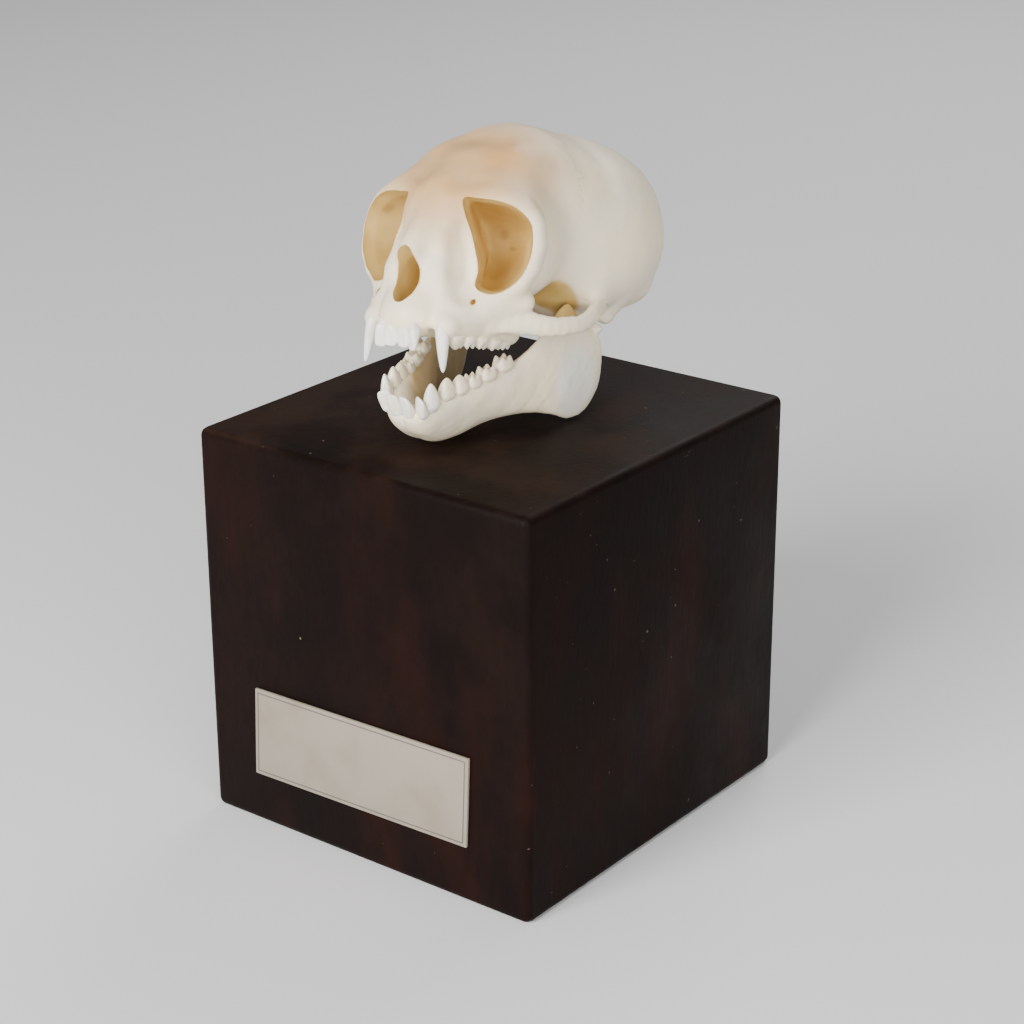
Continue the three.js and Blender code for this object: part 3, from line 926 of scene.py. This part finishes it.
CROWD_AT_FRONT = (81, 66)
CUSPS_AT = ((0.3, 0.27), (0.3, -0.27), (-0.3, 0.24), (-0.3, -0.24))
CUSP_SPREAD = 0.025
CUSP_HEIGHT = 0.42
BASIN_DEPTH = 0.34
BITING_FROM = 0.62
BITING_OVER = 0.3


@dataclass
class ToothRow:
    """All the teeth of one jaw."""

    teeth: list[Tooth]
    upward: bool
    sink: float = 0.9
    root_end: float = 0.4
    blunt_root: float = 2.5
    segments: int = 24
    rings: int = 20

    def crown(self, tooth: Tooth) -> bpy.types.Object:
        """Models a crown with its neck at the origin and its tip down -z.

        Args:
            tooth: The tooth's sizes and kind.

        Returns:
            The crown and the start of its root as a closed mesh.
        """
        piece = ball((0, 0, 0), (1, 1, 1), self.segments, self.rings)
        unit = points_of(piece)
        down = (1 - unit[:, 2]) / 2
        ring = np.hypot(unit[:, 0], unit[:, 1])
        safe = np.maximum(ring, 1e-6)
        gum = self.sink / (tooth.height + self.sink)
        above = np.clip((down - gum) / (1 - gum), 0, 1)
        swell = self.root_end + (1 - self.root_end) * np.minimum(down / gum, 1)
        root = np.minimum(ring * self.blunt_root, 1) ** 0.5 * swell
        form = tooth.kind.value
        wide = 1 - form.narrow * above**form.narrow_late
        long = form.neck - form.shorten * above**form.shorten_late
        full = root * (1 - above**3) ** form.close
        side = np.sign(unit[:, 0]) * np.abs(unit[:, 0] / safe) ** form.corner
        fore = np.sign(unit[:, 1]) * np.abs(unit[:, 1] / safe) ** form.corner
        x = side * full * wide * tooth.across / 2
        y = fore * full * long * tooth.along / 2
        z = self.sink - down * (tooth.height + self.sink)
        if tooth.kind is Crown.BROAD:
            biting = np.clip((down - BITING_FROM) / BITING_OVER, 0, 1)
            cusps = sum(
                np.exp(-((x / tooth.across - a) ** 2 + (y / tooth.along - b) ** 2) / CUSP_SPREAD)
                for a, b in CUSPS_AT
            )
            z = z + tooth.height * biting * (BASIN_DEPTH - CUSP_HEIGHT * cusps)
        place_points(piece, np.stack([x, y, z], axis=1))
        face_outwards(piece)
        return piece

    def place(self, index: int) -> Matrix:
        """Works out where a tooth stands in its row.

        Args:
            index: The tooth's number from the front.

        Returns:
            The matrix that places its crown.
        """
        tooth = self.teeth[index]
        ahead = self.teeth[min(index + 1, len(self.teeth) - 1)].at
        behind = self.teeth[max(index - 1, 0)].at
        heading = -math.atan2(ahead[0] - behind[0], ahead[1] - behind[1])
        if index < len(CROWD_AT_FRONT):
            heading = math.radians(CROWD_AT_FRONT[index])
        over = Matrix.Rotation(math.pi if self.upward else 0, 4, "Y")
        way = 1 if self.upward else -1
        return (
            Matrix.Translation(tooth.at)
            @ Matrix.Rotation(way * math.radians(tooth.splay), 4, "Y")
            @ Matrix.Rotation(way * math.radians(tooth.lean), 4, "X")
            @ Matrix.Rotation(heading, 4, "Z") @ over
        )

    def build(self, pose: Pose, block_top: float) -> bpy.types.Object:
        """Models the row on both sides.

        Args:
            pose: The place and turn of the bone that the teeth grow from.
            block_top: The height of the block's upper face, in metres.

        Returns:
            The teeth as one object in the frame's metres.
        """
        crowns = []
        for index, tooth in enumerate(self.teeth):
            crown = self.crown(tooth)
            crown.data.transform(self.place(index))
            crowns += [crown, mirrored(crown)]
        row = join(crowns)
        mark_places(row, "place")
        row.data.transform(pose.matrix(block_top))
        shade(row, 70)
        return row


# Shader helpers


class Nodes:
    """Builds one node tree, a material's or a group's."""

    def __init__(self, tree: bpy.types.NodeTree) -> None:
        """Takes the tree to build in."""
        self.tree = tree

    def add(self, kind: str, inputs: dict[str | int, object] | None = None,
            **settings: object) -> bpy.types.Node:
        """Adds a node, sets it up and links its inputs.

        Args:
            kind: The node's type.
            inputs: A value or an output socket for each named input.
            settings: Values for the node's own properties.

        Returns:
            The node.
        """
        node = self.tree.nodes.new(kind)
        for name, value in settings.items():
            setattr(node, name, value)
        for key, value in (inputs or {}).items():
            if isinstance(value, bpy.types.NodeSocket):
                self.tree.links.new(value, node.inputs[key])
            else:
                node.inputs[key].default_value = value
        return node

    def noise(self, where: bpy.types.NodeSocket, scale: float, detail: float = 4,
              roughness: float = 0.5) -> bpy.types.NodeSocket:
        """Adds a noise pattern and gives its value."""
        inputs = {"Vector": where, "Scale": scale, "Detail": detail, "Roughness": roughness}
        return self.add("ShaderNodeTexNoise", inputs).outputs["Fac"]

    def span(self, value: object, low: float, high: float, to_low: float = 0,
             to_high: float = 1) -> bpy.types.NodeSocket:
        """Maps a range of values smoothly onto another."""
        inputs = {0: value, 1: low, 2: high, 3: to_low, 4: to_high}
        node = self.add("ShaderNodeMapRange", inputs, interpolation_type="SMOOTHSTEP")
        return node.outputs[0]

    def math(self, operation: str, *values: object) -> bpy.types.NodeSocket:
        """Adds a sum of up to three values."""
        node = self.add("ShaderNodeMath", dict(enumerate(values)), operation=operation)
        return node.outputs[0]

    def mix(self, share: object, first: object, second: object) -> bpy.types.NodeSocket:
        """Mixes two colours."""
        node = self.add("ShaderNodeMix", {0: share, 6: first, 7: second}, data_type="RGBA")
        return node.outputs[2]

    def mask(self, name: str) -> bpy.types.NodeSocket:
        """Reads a number that the mesh carries for each of its points."""
        return self.add("ShaderNodeAttribute", attribute_name=name).outputs["Fac"]

    def both(self, first: object, second: object) -> bpy.types.NodeSocket:
        """Multiplies two masks."""
        return self.math("MULTIPLY", first, second)


Colour = tuple[float, float, float, float]


def colour(red: int, green: int, blue: int) -> Colour:
    """Turns a colour seen on a screen into the values that a shader uses.

    Args:
        red: Its red, 0 to 255.
        green: Its green.
        blue: Its blue.

    Returns:
        The linear colour, with full alpha.
    """
    def linear(value: int) -> float:
        """Turns one channel."""
        share = value / 255
        return share / 12.92 if share <= 0.04045 else ((share + 0.055) / 1.055) ** 2.4

    return (linear(red), linear(green), linear(blue), 1.0)


def start_material(name: str) -> tuple[Nodes, bpy.types.Material]:
    """Starts an empty material.

    Args:
        name: The material's name.

    Returns:
        Its nodes and the material.
    """
    material = bpy.data.materials.new(name)
    material.use_nodes = True
    material.node_tree.nodes.clear()
    return Nodes(material.node_tree), material


def close_material(nodes: Nodes, **inputs: object) -> None:
    """Ends a material in one surface shader.

    Args:
        nodes: The material's nodes.
        inputs: The shader's inputs, with _ for each space in a name.
    """
    named = {key.replace("_", " "): value for key, value in inputs.items()}
    surface = nodes.add("ShaderNodeBsdfPrincipled", named)
    nodes.add("ShaderNodeOutputMaterial", {"Surface": surface.outputs["BSDF"]})


def mottle_group() -> bpy.types.NodeTree:
    """Builds the cloudy, finely pitted skin that dry bone and teeth share."""
    group = bpy.data.node_groups.new("dry_bone_mottle", "ShaderNodeTree")
    face = group.interface
    face.new_socket("Vector", in_out="INPUT", socket_type="NodeSocketVector")
    for name in ("Cloud Scale", "Pit Scale"):
        face.new_socket(name, in_out="INPUT", socket_type="NodeSocketFloat")
    for name in ("Clouds", "Height"):
        face.new_socket(name, in_out="OUTPUT", socket_type="NodeSocketFloat")
    nodes = Nodes(group)
    given = nodes.add("NodeGroupInput").outputs
    clouds = nodes.noise(given["Vector"], 1.0, 5, 0.55)
    nodes.tree.links.new(given["Cloud Scale"], clouds.node.inputs["Scale"])
    pits = nodes.noise(given["Vector"], 1.0, 3, 0.6)
    nodes.tree.links.new(given["Pit Scale"], pits.node.inputs["Scale"])
    specks = nodes.span(pits, 0.66, 0.76)
    height = nodes.math("MULTIPLY_ADD", specks, -0.6, pits)
    nodes.add("NodeGroupOutput", {"Clouds": nodes.span(clouds, 0.32, 0.68), "Height": height})
    return group


@dataclass(frozen=True)
class Spot:
    """A soft egg-shaped patch on a piece, in the piece's own millimetres."""

    at: Point
    size: Point

    def mask(self, nodes: Nodes, place: bpy.types.NodeSocket) -> bpy.types.NodeSocket:
        """Makes the patch's mask.

        Args:
            nodes: The material's nodes.
            place: The point's own place.

        Returns:
            A value of 1 at its middle and 0 outside it.
        """
        off = nodes.add("ShaderNodeVectorMath", {0: place, 1: self.at}, operation="SUBTRACT")
        near = nodes.add("ShaderNodeVectorMath", {0: off.outputs[0], 1: self.size},
                         operation="DIVIDE")
        length = nodes.add("ShaderNodeVectorMath", {0: near.outputs[0]}, operation="LENGTH")
        return nodes.span(length.outputs["Value"], 0.3, 1.0, 1, 0)


@dataclass(frozen=True)
class BoneFinish:
    """Clean dry bone, warm on the brow; the amber in its cavities and on the jaw's inner side is
    painted warm shade and light through thin bone.

    A seam or the crack runs where y, plus a share of z, comes to a set place.
    """

    name: str = "bone"
    pale: Colour = colour(242, 227, 193)
    cool: Colour = colour(233, 221, 198)
    warm: Colour = colour(196, 150, 95)
    blue: Colour = colour(230, 234, 236)
    seam: Colour = colour(196, 172, 142)
    # amber and deep_amber paint the warm shade and the light through thin bone in the cavities;
    # gloom is the dark of the crack line and of the painted shade spots.
    amber: Colour = colour(210, 179, 111)
    deep_amber: Colour = colour(195, 161, 91)
    gloom: Colour = colour(148, 112, 66)
    brow: Spot = Spot((0.5, -13.0, 15.5), (14.0, 19.0, 11.0))
    ramus: Spot = Spot((9.2, -2.6, 4.6), (3.0, 5.0, 6.0))
    ramus_share: float = 0.7
    # Painted shade: darker spots inside the orbits, over the optic hole and the shaded depths of
    # the orbits.
    orbit_shade_spots: tuple[Spot, ...] = (
        Spot((2.64, -8.22, 8.58), (0.8, 1.5, 0.8)),
        Spot((3.89, -8.18, 7.14), (0.7, 1.5, 0.35)),
        Spot((-9.34, -13.56, 10.73), (1.5, 0.8, 0.8)),
    )
    orbit_shade_share: float = 0.45
    seam_share: float = 0.55
    seam_wander: float = 0.9
    crown_seam: tuple[float, float] = (-0.42, 10.2)
    rear_seam: tuple[float, float] = (0.5, -19.2)
    crack_slope: float = 0.21
    crack_height: float = -1.1
    crack_reach: Spot = Spot((10.0, -0.7, 1.2), (2.4, 3.4, 1.6))

    def seams(self, nodes: Nodes, place: bpy.types.NodeSocket) -> bpy.types.NodeSocket:
        """Makes the faint, wiggling lines where the skull's plates meet.

        Args:
            nodes: The material's nodes.
            place: The point's own place, in millimetres.

        Returns:
            A mask of the lines.
        """
        wander = nodes.noise(place, 0.9, 4, 0.6)
        shift = nodes.span(wander, 0.2, 0.8, -self.seam_wander, self.seam_wander)
        split = nodes.add("ShaderNodeSeparateXYZ", {"Vector": place}).outputs
        middle = nodes.math("ABSOLUTE", nodes.math("MULTIPLY_ADD", shift, 0.3, split["X"]))
        ahead = nodes.span(split["Y"], -4.0, -2.6)
        near = nodes.math("ADD", middle, nodes.span(ahead, 0, 1, 5, 0))
        for slope, offset in (self.crown_seam, self.rear_seam):
            line = nodes.math("MULTIPLY_ADD", split["Z"], slope, split["Y"])
            line = nodes.math("ADD", nodes.math("ADD", line, offset), shift)
            near = nodes.math("MINIMUM", near, nodes.math("ABSOLUTE", line))
        above = nodes.span(split["Z"], 11.5, 13.0)
        return nodes.both(nodes.span(near, 0.03, 0.16, 1, 0), above)

    def crack(self, nodes: Nodes, place: bpy.types.NodeSocket) -> bpy.types.NodeSocket:
        """Makes the thin dark line above the root of the cheek arch.

        Args:
            nodes: The material's nodes.
            place: The point's own place, in millimetres.

        Returns:
            A mask of the line.
        """
        split = nodes.add("ShaderNodeSeparateXYZ", {"Vector": place}).outputs
        height = nodes.math("MULTIPLY_ADD", split["Y"], self.crack_slope, split["Z"])
        wander = nodes.span(nodes.noise(place, 1.2, 2), 0.3, 0.7, -0.15, 0.15)
        height = nodes.math("ADD", nodes.math("ADD", height, self.crack_height), wander)
        line = nodes.span(nodes.math("ABSOLUTE", height), 0.04, 0.12, 1, 0)
        near = self.crack_reach.mask(nodes, place)
        return nodes.both(line, nodes.span(near, 0.1, 0.4, 0, 0.8))

    def build(self, mottle: bpy.types.NodeTree) -> bpy.types.Material:
        """Builds the material.

        Args:
            mottle: The shared node group for the skin of bone.

        Returns:
            The material.
        """
        nodes, material = start_material(self.name)
        where = nodes.add("ShaderNodeTexCoord").outputs["Object"]
        place = nodes.add("ShaderNodeAttribute", attribute_name="place").outputs["Vector"]
        skin = nodes.add("ShaderNodeGroup", {"Vector": where, "Cloud Scale": 170.0,
                                             "Pit Scale": 2600.0}, node_tree=mottle)
        base = nodes.mix(skin.outputs["Clouds"], self.pale, self.cool)
        drift = nodes.span(nodes.noise(where, 110, 3), 0.3, 0.7, 0.84, 1)
        jaw = nodes.mask("jaw")
        skull = nodes.math("SUBTRACT", 1.0, jaw)
        blush = nodes.both(nodes.both(self.brow.mask(nodes, place), drift), skull)
        base = nodes.mix(blush, base, self.warm)
        chill = nodes.both(nodes.both(self.ramus.mask(nodes, place), jaw), self.ramus_share)
        base = nodes.mix(nodes.both(chill, drift), base, self.blue)
        seams = nodes.both(self.seams(nodes, place), skull)
        base = nodes.mix(nodes.both(seams, self.seam_share), base, self.seam)
        # Painted shade: the amber mask lays warm shade and light through thin bone over the
        # cavities and the jaw's inner side.
        inside = nodes.mix(nodes.span(nodes.noise(where, 260, 3), 0.35, 0.65),
                           self.amber, self.deep_amber)
        # Painted shade: the spots inside the orbits darken the amber towards gloom.
        orbit_shade_spots = 0.0
        for spot in self.orbit_shade_spots:
            orbit_shade_spots = nodes.math("MAXIMUM", orbit_shade_spots, spot.mask(nodes, place))
        orbit_shade_spots = nodes.both(nodes.both(orbit_shade_spots, skull), self.orbit_shade_share)
        inside = nodes.mix(orbit_shade_spots, inside, self.gloom)
        base = nodes.mix(nodes.mask("amber_shade"), base, inside)
        base = nodes.mix(nodes.both(self.crack(nodes, place), skull), base, self.gloom)
        height = nodes.math("MULTIPLY_ADD", seams, -1.5, skin.outputs["Height"])
        bump = nodes.add("ShaderNodeBump", {"Height": height, "Strength": 0.16,
                                            "Distance": 0.0001})
        rough = nodes.span(skin.outputs["Clouds"], 0, 1, 0.42, 0.56)
        close_material(nodes, Base_Color=base, Roughness=rough, Normal=bump.outputs["Normal"],
                       Subsurface_Weight=0.1, Subsurface_Radius=(1.0, 0.6, 0.35),
                       Subsurface_Scale=0.0007)
        return material


@dataclass(frozen=True)
class EnamelFinish:
    """Pale, slightly blue, glossy tooth enamel."""

    name: str = "enamel"
    front: Colour = colour(236, 234, 228)
    cheek: Colour = colour(238, 226, 200)
    neck: Colour = colour(228, 212, 182)
    tip: Colour = colour(216, 224, 228)

    def build(self, mottle: bpy.types.NodeTree) -> bpy.types.Material:
        """Builds the material.

        Args:
            mottle: The shared node group for the skin of bone.

        Returns:
            The material.
        """
        nodes, material = start_material(self.name)
        where = nodes.add("ShaderNodeTexCoord").outputs["Object"]
        skin = nodes.add("ShaderNodeGroup", {"Vector": where, "Cloud Scale": 700.0,
                                             "Pit Scale": 3000.0}, node_tree=mottle)
        place = nodes.add("ShaderNodeAttribute", attribute_name="place").outputs["Vector"]
        split = nodes.add("ShaderNodeSeparateXYZ", {"Vector": place}).outputs
        base = nodes.mix(nodes.span(split["Y"], -23.0, -20.5), self.front, self.cheek)
        base = nodes.mix(nodes.span(skin.outputs["Clouds"], 0, 1, 0, 0.5), base, self.neck)
        base = nodes.mix(nodes.span(split["Z"], -2.0, -4.5, 0, 0.8), base, self.tip)
        bump = nodes.add("ShaderNodeBump", {"Height": skin.outputs["Height"],
                                            "Strength": 0.05, "Distance": 0.0001})
        close_material(nodes, Base_Color=base, Roughness=0.28, Normal=bump.outputs["Normal"],
                       Coat_Weight=0.2, Subsurface_Weight=0.1,
                       Subsurface_Radius=(1.0, 0.8, 0.6), Subsurface_Scale=0.0005)
        return material


@dataclass(frozen=True)
class WoodFinish:
    """Very dark stained wood with a half-matt polish, uneven from wear, and a painted sheen in
    patches on its top face.
    """

    name: str = "dark_wood"
    dark: Colour = colour(13, 7, 6)
    brown: Colour = colour(23, 13, 10)
    red: Colour = colour(40, 16, 11)
    # Painted sheen: the lighter colour laid on the top face.
    top_sheen: Colour = colour(48, 35, 28)
    dust: Colour = colour(120, 106, 94)

    def build(self) -> bpy.types.Material:
        """Builds the material."""
        nodes, material = start_material(self.name)
        where = nodes.add("ShaderNodeTexCoord").outputs["Object"]
        drawn = nodes.add("ShaderNodeMapping", {"Vector": where, "Scale": (1, 1, 0.35)})
        grain = nodes.noise(drawn.outputs["Vector"], 1100, 5, 0.65)
        patches = nodes.noise(where, 75, 4, 0.6)
        base = nodes.mix(nodes.span(patches, 0.3, 0.7), self.dark, self.brown)
        fine = nodes.span(grain, 0.35, 0.7, 0, 0.45)
        base = nodes.mix(fine, base, self.dark)
        redness = nodes.noise(drawn.outputs["Vector"], 90, 3, 0.55)
        height = nodes.add("ShaderNodeSeparateXYZ", {"Vector": where}).outputs["Z"]
        low = nodes.span(height, 0.0, 0.045, 0.75, 0.3)
        base = nodes.mix(nodes.both(nodes.span(redness, 0.45, 0.75), low), base, self.red)
        # Painted sheen: the top face is made lighter in patches.
        upward = nodes.span(height, 0.0474, 0.0479)
        top_sheen_patches = nodes.both(upward, nodes.span(patches, 0.4, 0.66, 0.05, 0.5))
        base = nodes.mix(top_sheen_patches, base, self.top_sheen)
        specks = nodes.span(nodes.noise(where, 1300, 1), 0.79, 0.82, 0, 0.5)
        base = nodes.mix(specks, base, self.dust)
        bump = nodes.add("ShaderNodeBump", {"Height": grain, "Strength": 0.25,
                                            "Distance": 0.0002})
        rough = nodes.span(patches, 0.3, 0.7, 0.44, 0.6)
        close_material(nodes, Base_Color=base, Roughness=rough, Normal=bump.outputs["Normal"],
                       Specular_IOR_Level=0.05)
        return material


@dataclass(frozen=True)
class CardFinish:
    """Off-white card with a thin printed border."""

    name: str = "label_paper"
    paper: Colour = colour(139, 130, 117)
    foxed: Colour = colour(127, 116, 100)
    ink: Colour = colour(88, 82, 76)
    inset: float = 0.0005
    half_line: float = 0.00008

    def build(self, label: "Label") -> bpy.types.Material:
        """Builds the material.

        Args:
            label: The card's sizes.

        Returns:
            The material.
        """
        nodes, material = start_material(self.name)
        where = nodes.add("ShaderNodeTexCoord").outputs["Object"]
        middle = (label.aside, 0.0, label.up)
        off = nodes.add("ShaderNodeVectorMath", {0: where, 1: middle}, operation="SUBTRACT")
        split = nodes.add("ShaderNodeSeparateXYZ", {"Vector": off.outputs[0]}).outputs
        along = nodes.math("MULTIPLY_ADD", split["Z"], -label.slant, split["X"])
        up = nodes.math("MULTIPLY_ADD", split["X"], -label.rise, split["Z"])
        edges = []
        for place, size in ((along, label.size[0] / 2), (up, label.size[2] / 2)):
            edges.append(nodes.math("SUBTRACT", size, nodes.math("ABSOLUTE", place)))
        inside = nodes.math("MINIMUM", *edges)
        away = nodes.math("ABSOLUTE", nodes.math("SUBTRACT", inside, self.inset))
        border = nodes.math("LESS_THAN", away, self.half_line)
        fibres = nodes.noise(where, 1800, 3)
        stains = nodes.noise(where, 160, 3)
        base = nodes.mix(nodes.span(stains, 0.4, 0.7, 0.05, 0.7), self.paper, self.foxed)
        base = nodes.mix(border, base, self.ink)
        bump = nodes.add("ShaderNodeBump", {"Height": fibres, "Strength": 0.15,
                                            "Distance": 0.0001})
        close_material(nodes, Base_Color=base, Roughness=0.8, Normal=bump.outputs["Normal"])
        return material


# The block and its label


@dataclass
class Block:
    """The wooden block, with its worn edges."""

    edge: float = 0.001
    segments: int = 4

    def build(self) -> bpy.types.Object:
        """Models the block to the frame's size."""
        low, high = (Vector(corner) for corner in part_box("base_block"))
        to_object_mode()
        bpy.ops.mesh.primitive_cube_add(size=1, location=(low + high) / 2)
        block = bpy.context.object
        block.scale = high - low
        set_down(block)
        apply(block, "BEVEL", width=self.edge, segments=self.segments, limit_method="NONE")
        shade(block, 40)
        return block


@dataclass
class Label:
    """The paper card on the block's front, cut by hand and not quite square."""

    size: Point = (0.0316, 0.0004, 0.0111)
    aside: float = -0.00036
    up: float = 0.01245
    rise: float = 0.0198
    slant: float = 0.0423
    edge: float = 0.00012
    off_wood: float = 0.00003

    def build(self) -> bpy.types.Object:
        """Models the card."""
        to_object_mode()
        bpy.ops.mesh.primitive_cube_add(size=1)
        card = bpy.context.object
        card.scale = self.size
        set_down(card)
        apply(card, "BEVEL", width=self.edge, segments=2, limit_method="NONE")
        askew = Matrix.Identity(4)
        askew[0][2], askew[2][0] = self.slant, self.rise
        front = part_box("base_block")[0][1] - self.off_wood - self.size[1] / 2
        card.data.transform(Matrix.Translation((self.aside, front, self.up)) @ askew)
        shade(card, 40)
        return card


# The studio


@dataclass(frozen=True)
class Lamp:
    """A soft square light that looks at the skull."""

    name: str
    at: Point
    size: float
    power: float
    tint: tuple[float, float, float]

    def build(self, aim_at: Point) -> None:
        """Adds the light.

        Args:
            aim_at: What it looks at.
        """
        data = bpy.data.lights.new(self.name, "AREA")
        data.size = self.size
        data.energy = self.power
        data.color = self.tint
        lamp = bpy.data.objects.new(self.name, data)
        bpy.context.scene.collection.objects.link(lamp)
        aim = Vector(aim_at) - Vector(self.at)
        turn = aim.to_track_quat("-Z", "Y").to_matrix().to_4x4()
        lamp.matrix_world = Matrix.Translation(self.at) @ turn


@dataclass
class Studio:
    """The floor, the lights and the camera at the photograph's angle."""

    azimuth: float = 37.81
    elevation: float = 21.67
    distance: float = 0.2905
    target: Point = (0.002304, 0, 0.036)
    roll: float = -0.27
    focal_share: float = 2500 / 1024
    sensor: float = 36.0
    floor_size: float = 6
    sky: float = 0.83
    sky_strength: float = 0.33
    lamps: tuple[Lamp, ...] = (
        Lamp("key", (0.0, -0.55, 0.32), 0.35, 7.5, (1.0, 0.985, 0.96)),
        Lamp("fill", (0.5, -0.35, 0.25), 0.4, 3.3, (1.0, 0.99, 0.98)),
        Lamp("back", (-0.1, 0.55, 0.5), 0.4, 2.2, (1.0, 1.0, 1.0)),
    )
    lit: Point = (0, 0, 0.06)

    def camera(self) -> None:
        """Sets the camera where the photograph was taken from."""
        a, e = math.radians(self.azimuth), math.radians(self.elevation)
        back = Vector((math.sin(a) * math.cos(e), -math.cos(a) * math.cos(e), math.sin(e)))
        data = bpy.data.cameras.new("camera")
        data.sensor_width = self.sensor
        data.lens = self.sensor * self.focal_share
        data.clip_start = 0.01
        eye = bpy.data.objects.new("camera", data)
        bpy.context.scene.collection.objects.link(eye)
        turn = back.to_track_quat("Z", "Y").to_matrix().to_4x4()
        turn = turn @ Matrix.Rotation(math.radians(self.roll), 4, "Z")
        eye.matrix_world = Matrix.Translation(Vector(self.target) + back * self.distance) @ turn
        bpy.context.scene.camera = eye

    def floor(self) -> None:
        """Lays the plain pale floor."""
        to_object_mode()
        bpy.ops.mesh.primitive_plane_add(size=self.floor_size)
        floor = bpy.context.object
        floor.name = "floor"
        nodes, material = start_material("pale_floor")
        close_material(nodes, Base_Color=(0.72, 0.72, 0.73, 1), Roughness=0.7)
        floor.data.materials.append(material)

    def build(self) -> None:
        """Sets up the whole studio."""
        self.camera()
        self.floor()
        for lamp in self.lamps:
            lamp.build(self.lit)
        world = bpy.data.worlds.new("studio")
        bpy.context.scene.world = world
        world.use_nodes = True
        sky = world.node_tree.nodes["Background"].inputs
        sky["Color"].default_value = (self.sky, self.sky, self.sky, 1)
        sky["Strength"].default_value = self.sky_strength


def main() -> None:
    """Builds every piece in order."""
    logging.basicConfig(level=logging.INFO, format="%(name)s: %(message)s")
    Studio().build()
    mottle = mottle_group()
    bone, enamel = BoneFinish().build(mottle), EnamelFinish().build(mottle)
    block_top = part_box("base_block")[1][2]

    finish_piece(Block().build(), "wooden_block", WoodFinish().build(), ("base_block",))
    label = Label()
    paper = CardFinish().build(label)
    finish_piece(label.build(), "paper_label", paper, ("label_card",))
    cranium_nodes = ("braincase", "face", "cheek_arch_left", "cheek_arch_right")
    finish_piece(Cranium().build(block_top), "cranium", bone, cranium_nodes)
    finish_piece(Jaw().build(block_top), "lower_jaw", bone, ("mandible",))
    upper = ToothRow(UPPER_ROW, upward=False).build(CRANIUM_POSE, block_top)
    finish_piece(upper, "upper_teeth", enamel)
    lower = ToothRow(LOWER_ROW, upward=True).build(JAW_POSE, block_top)
    finish_piece(lower, "lower_teeth", enamel)

    to_object_mode()


if __name__ == "__main__":
    main()
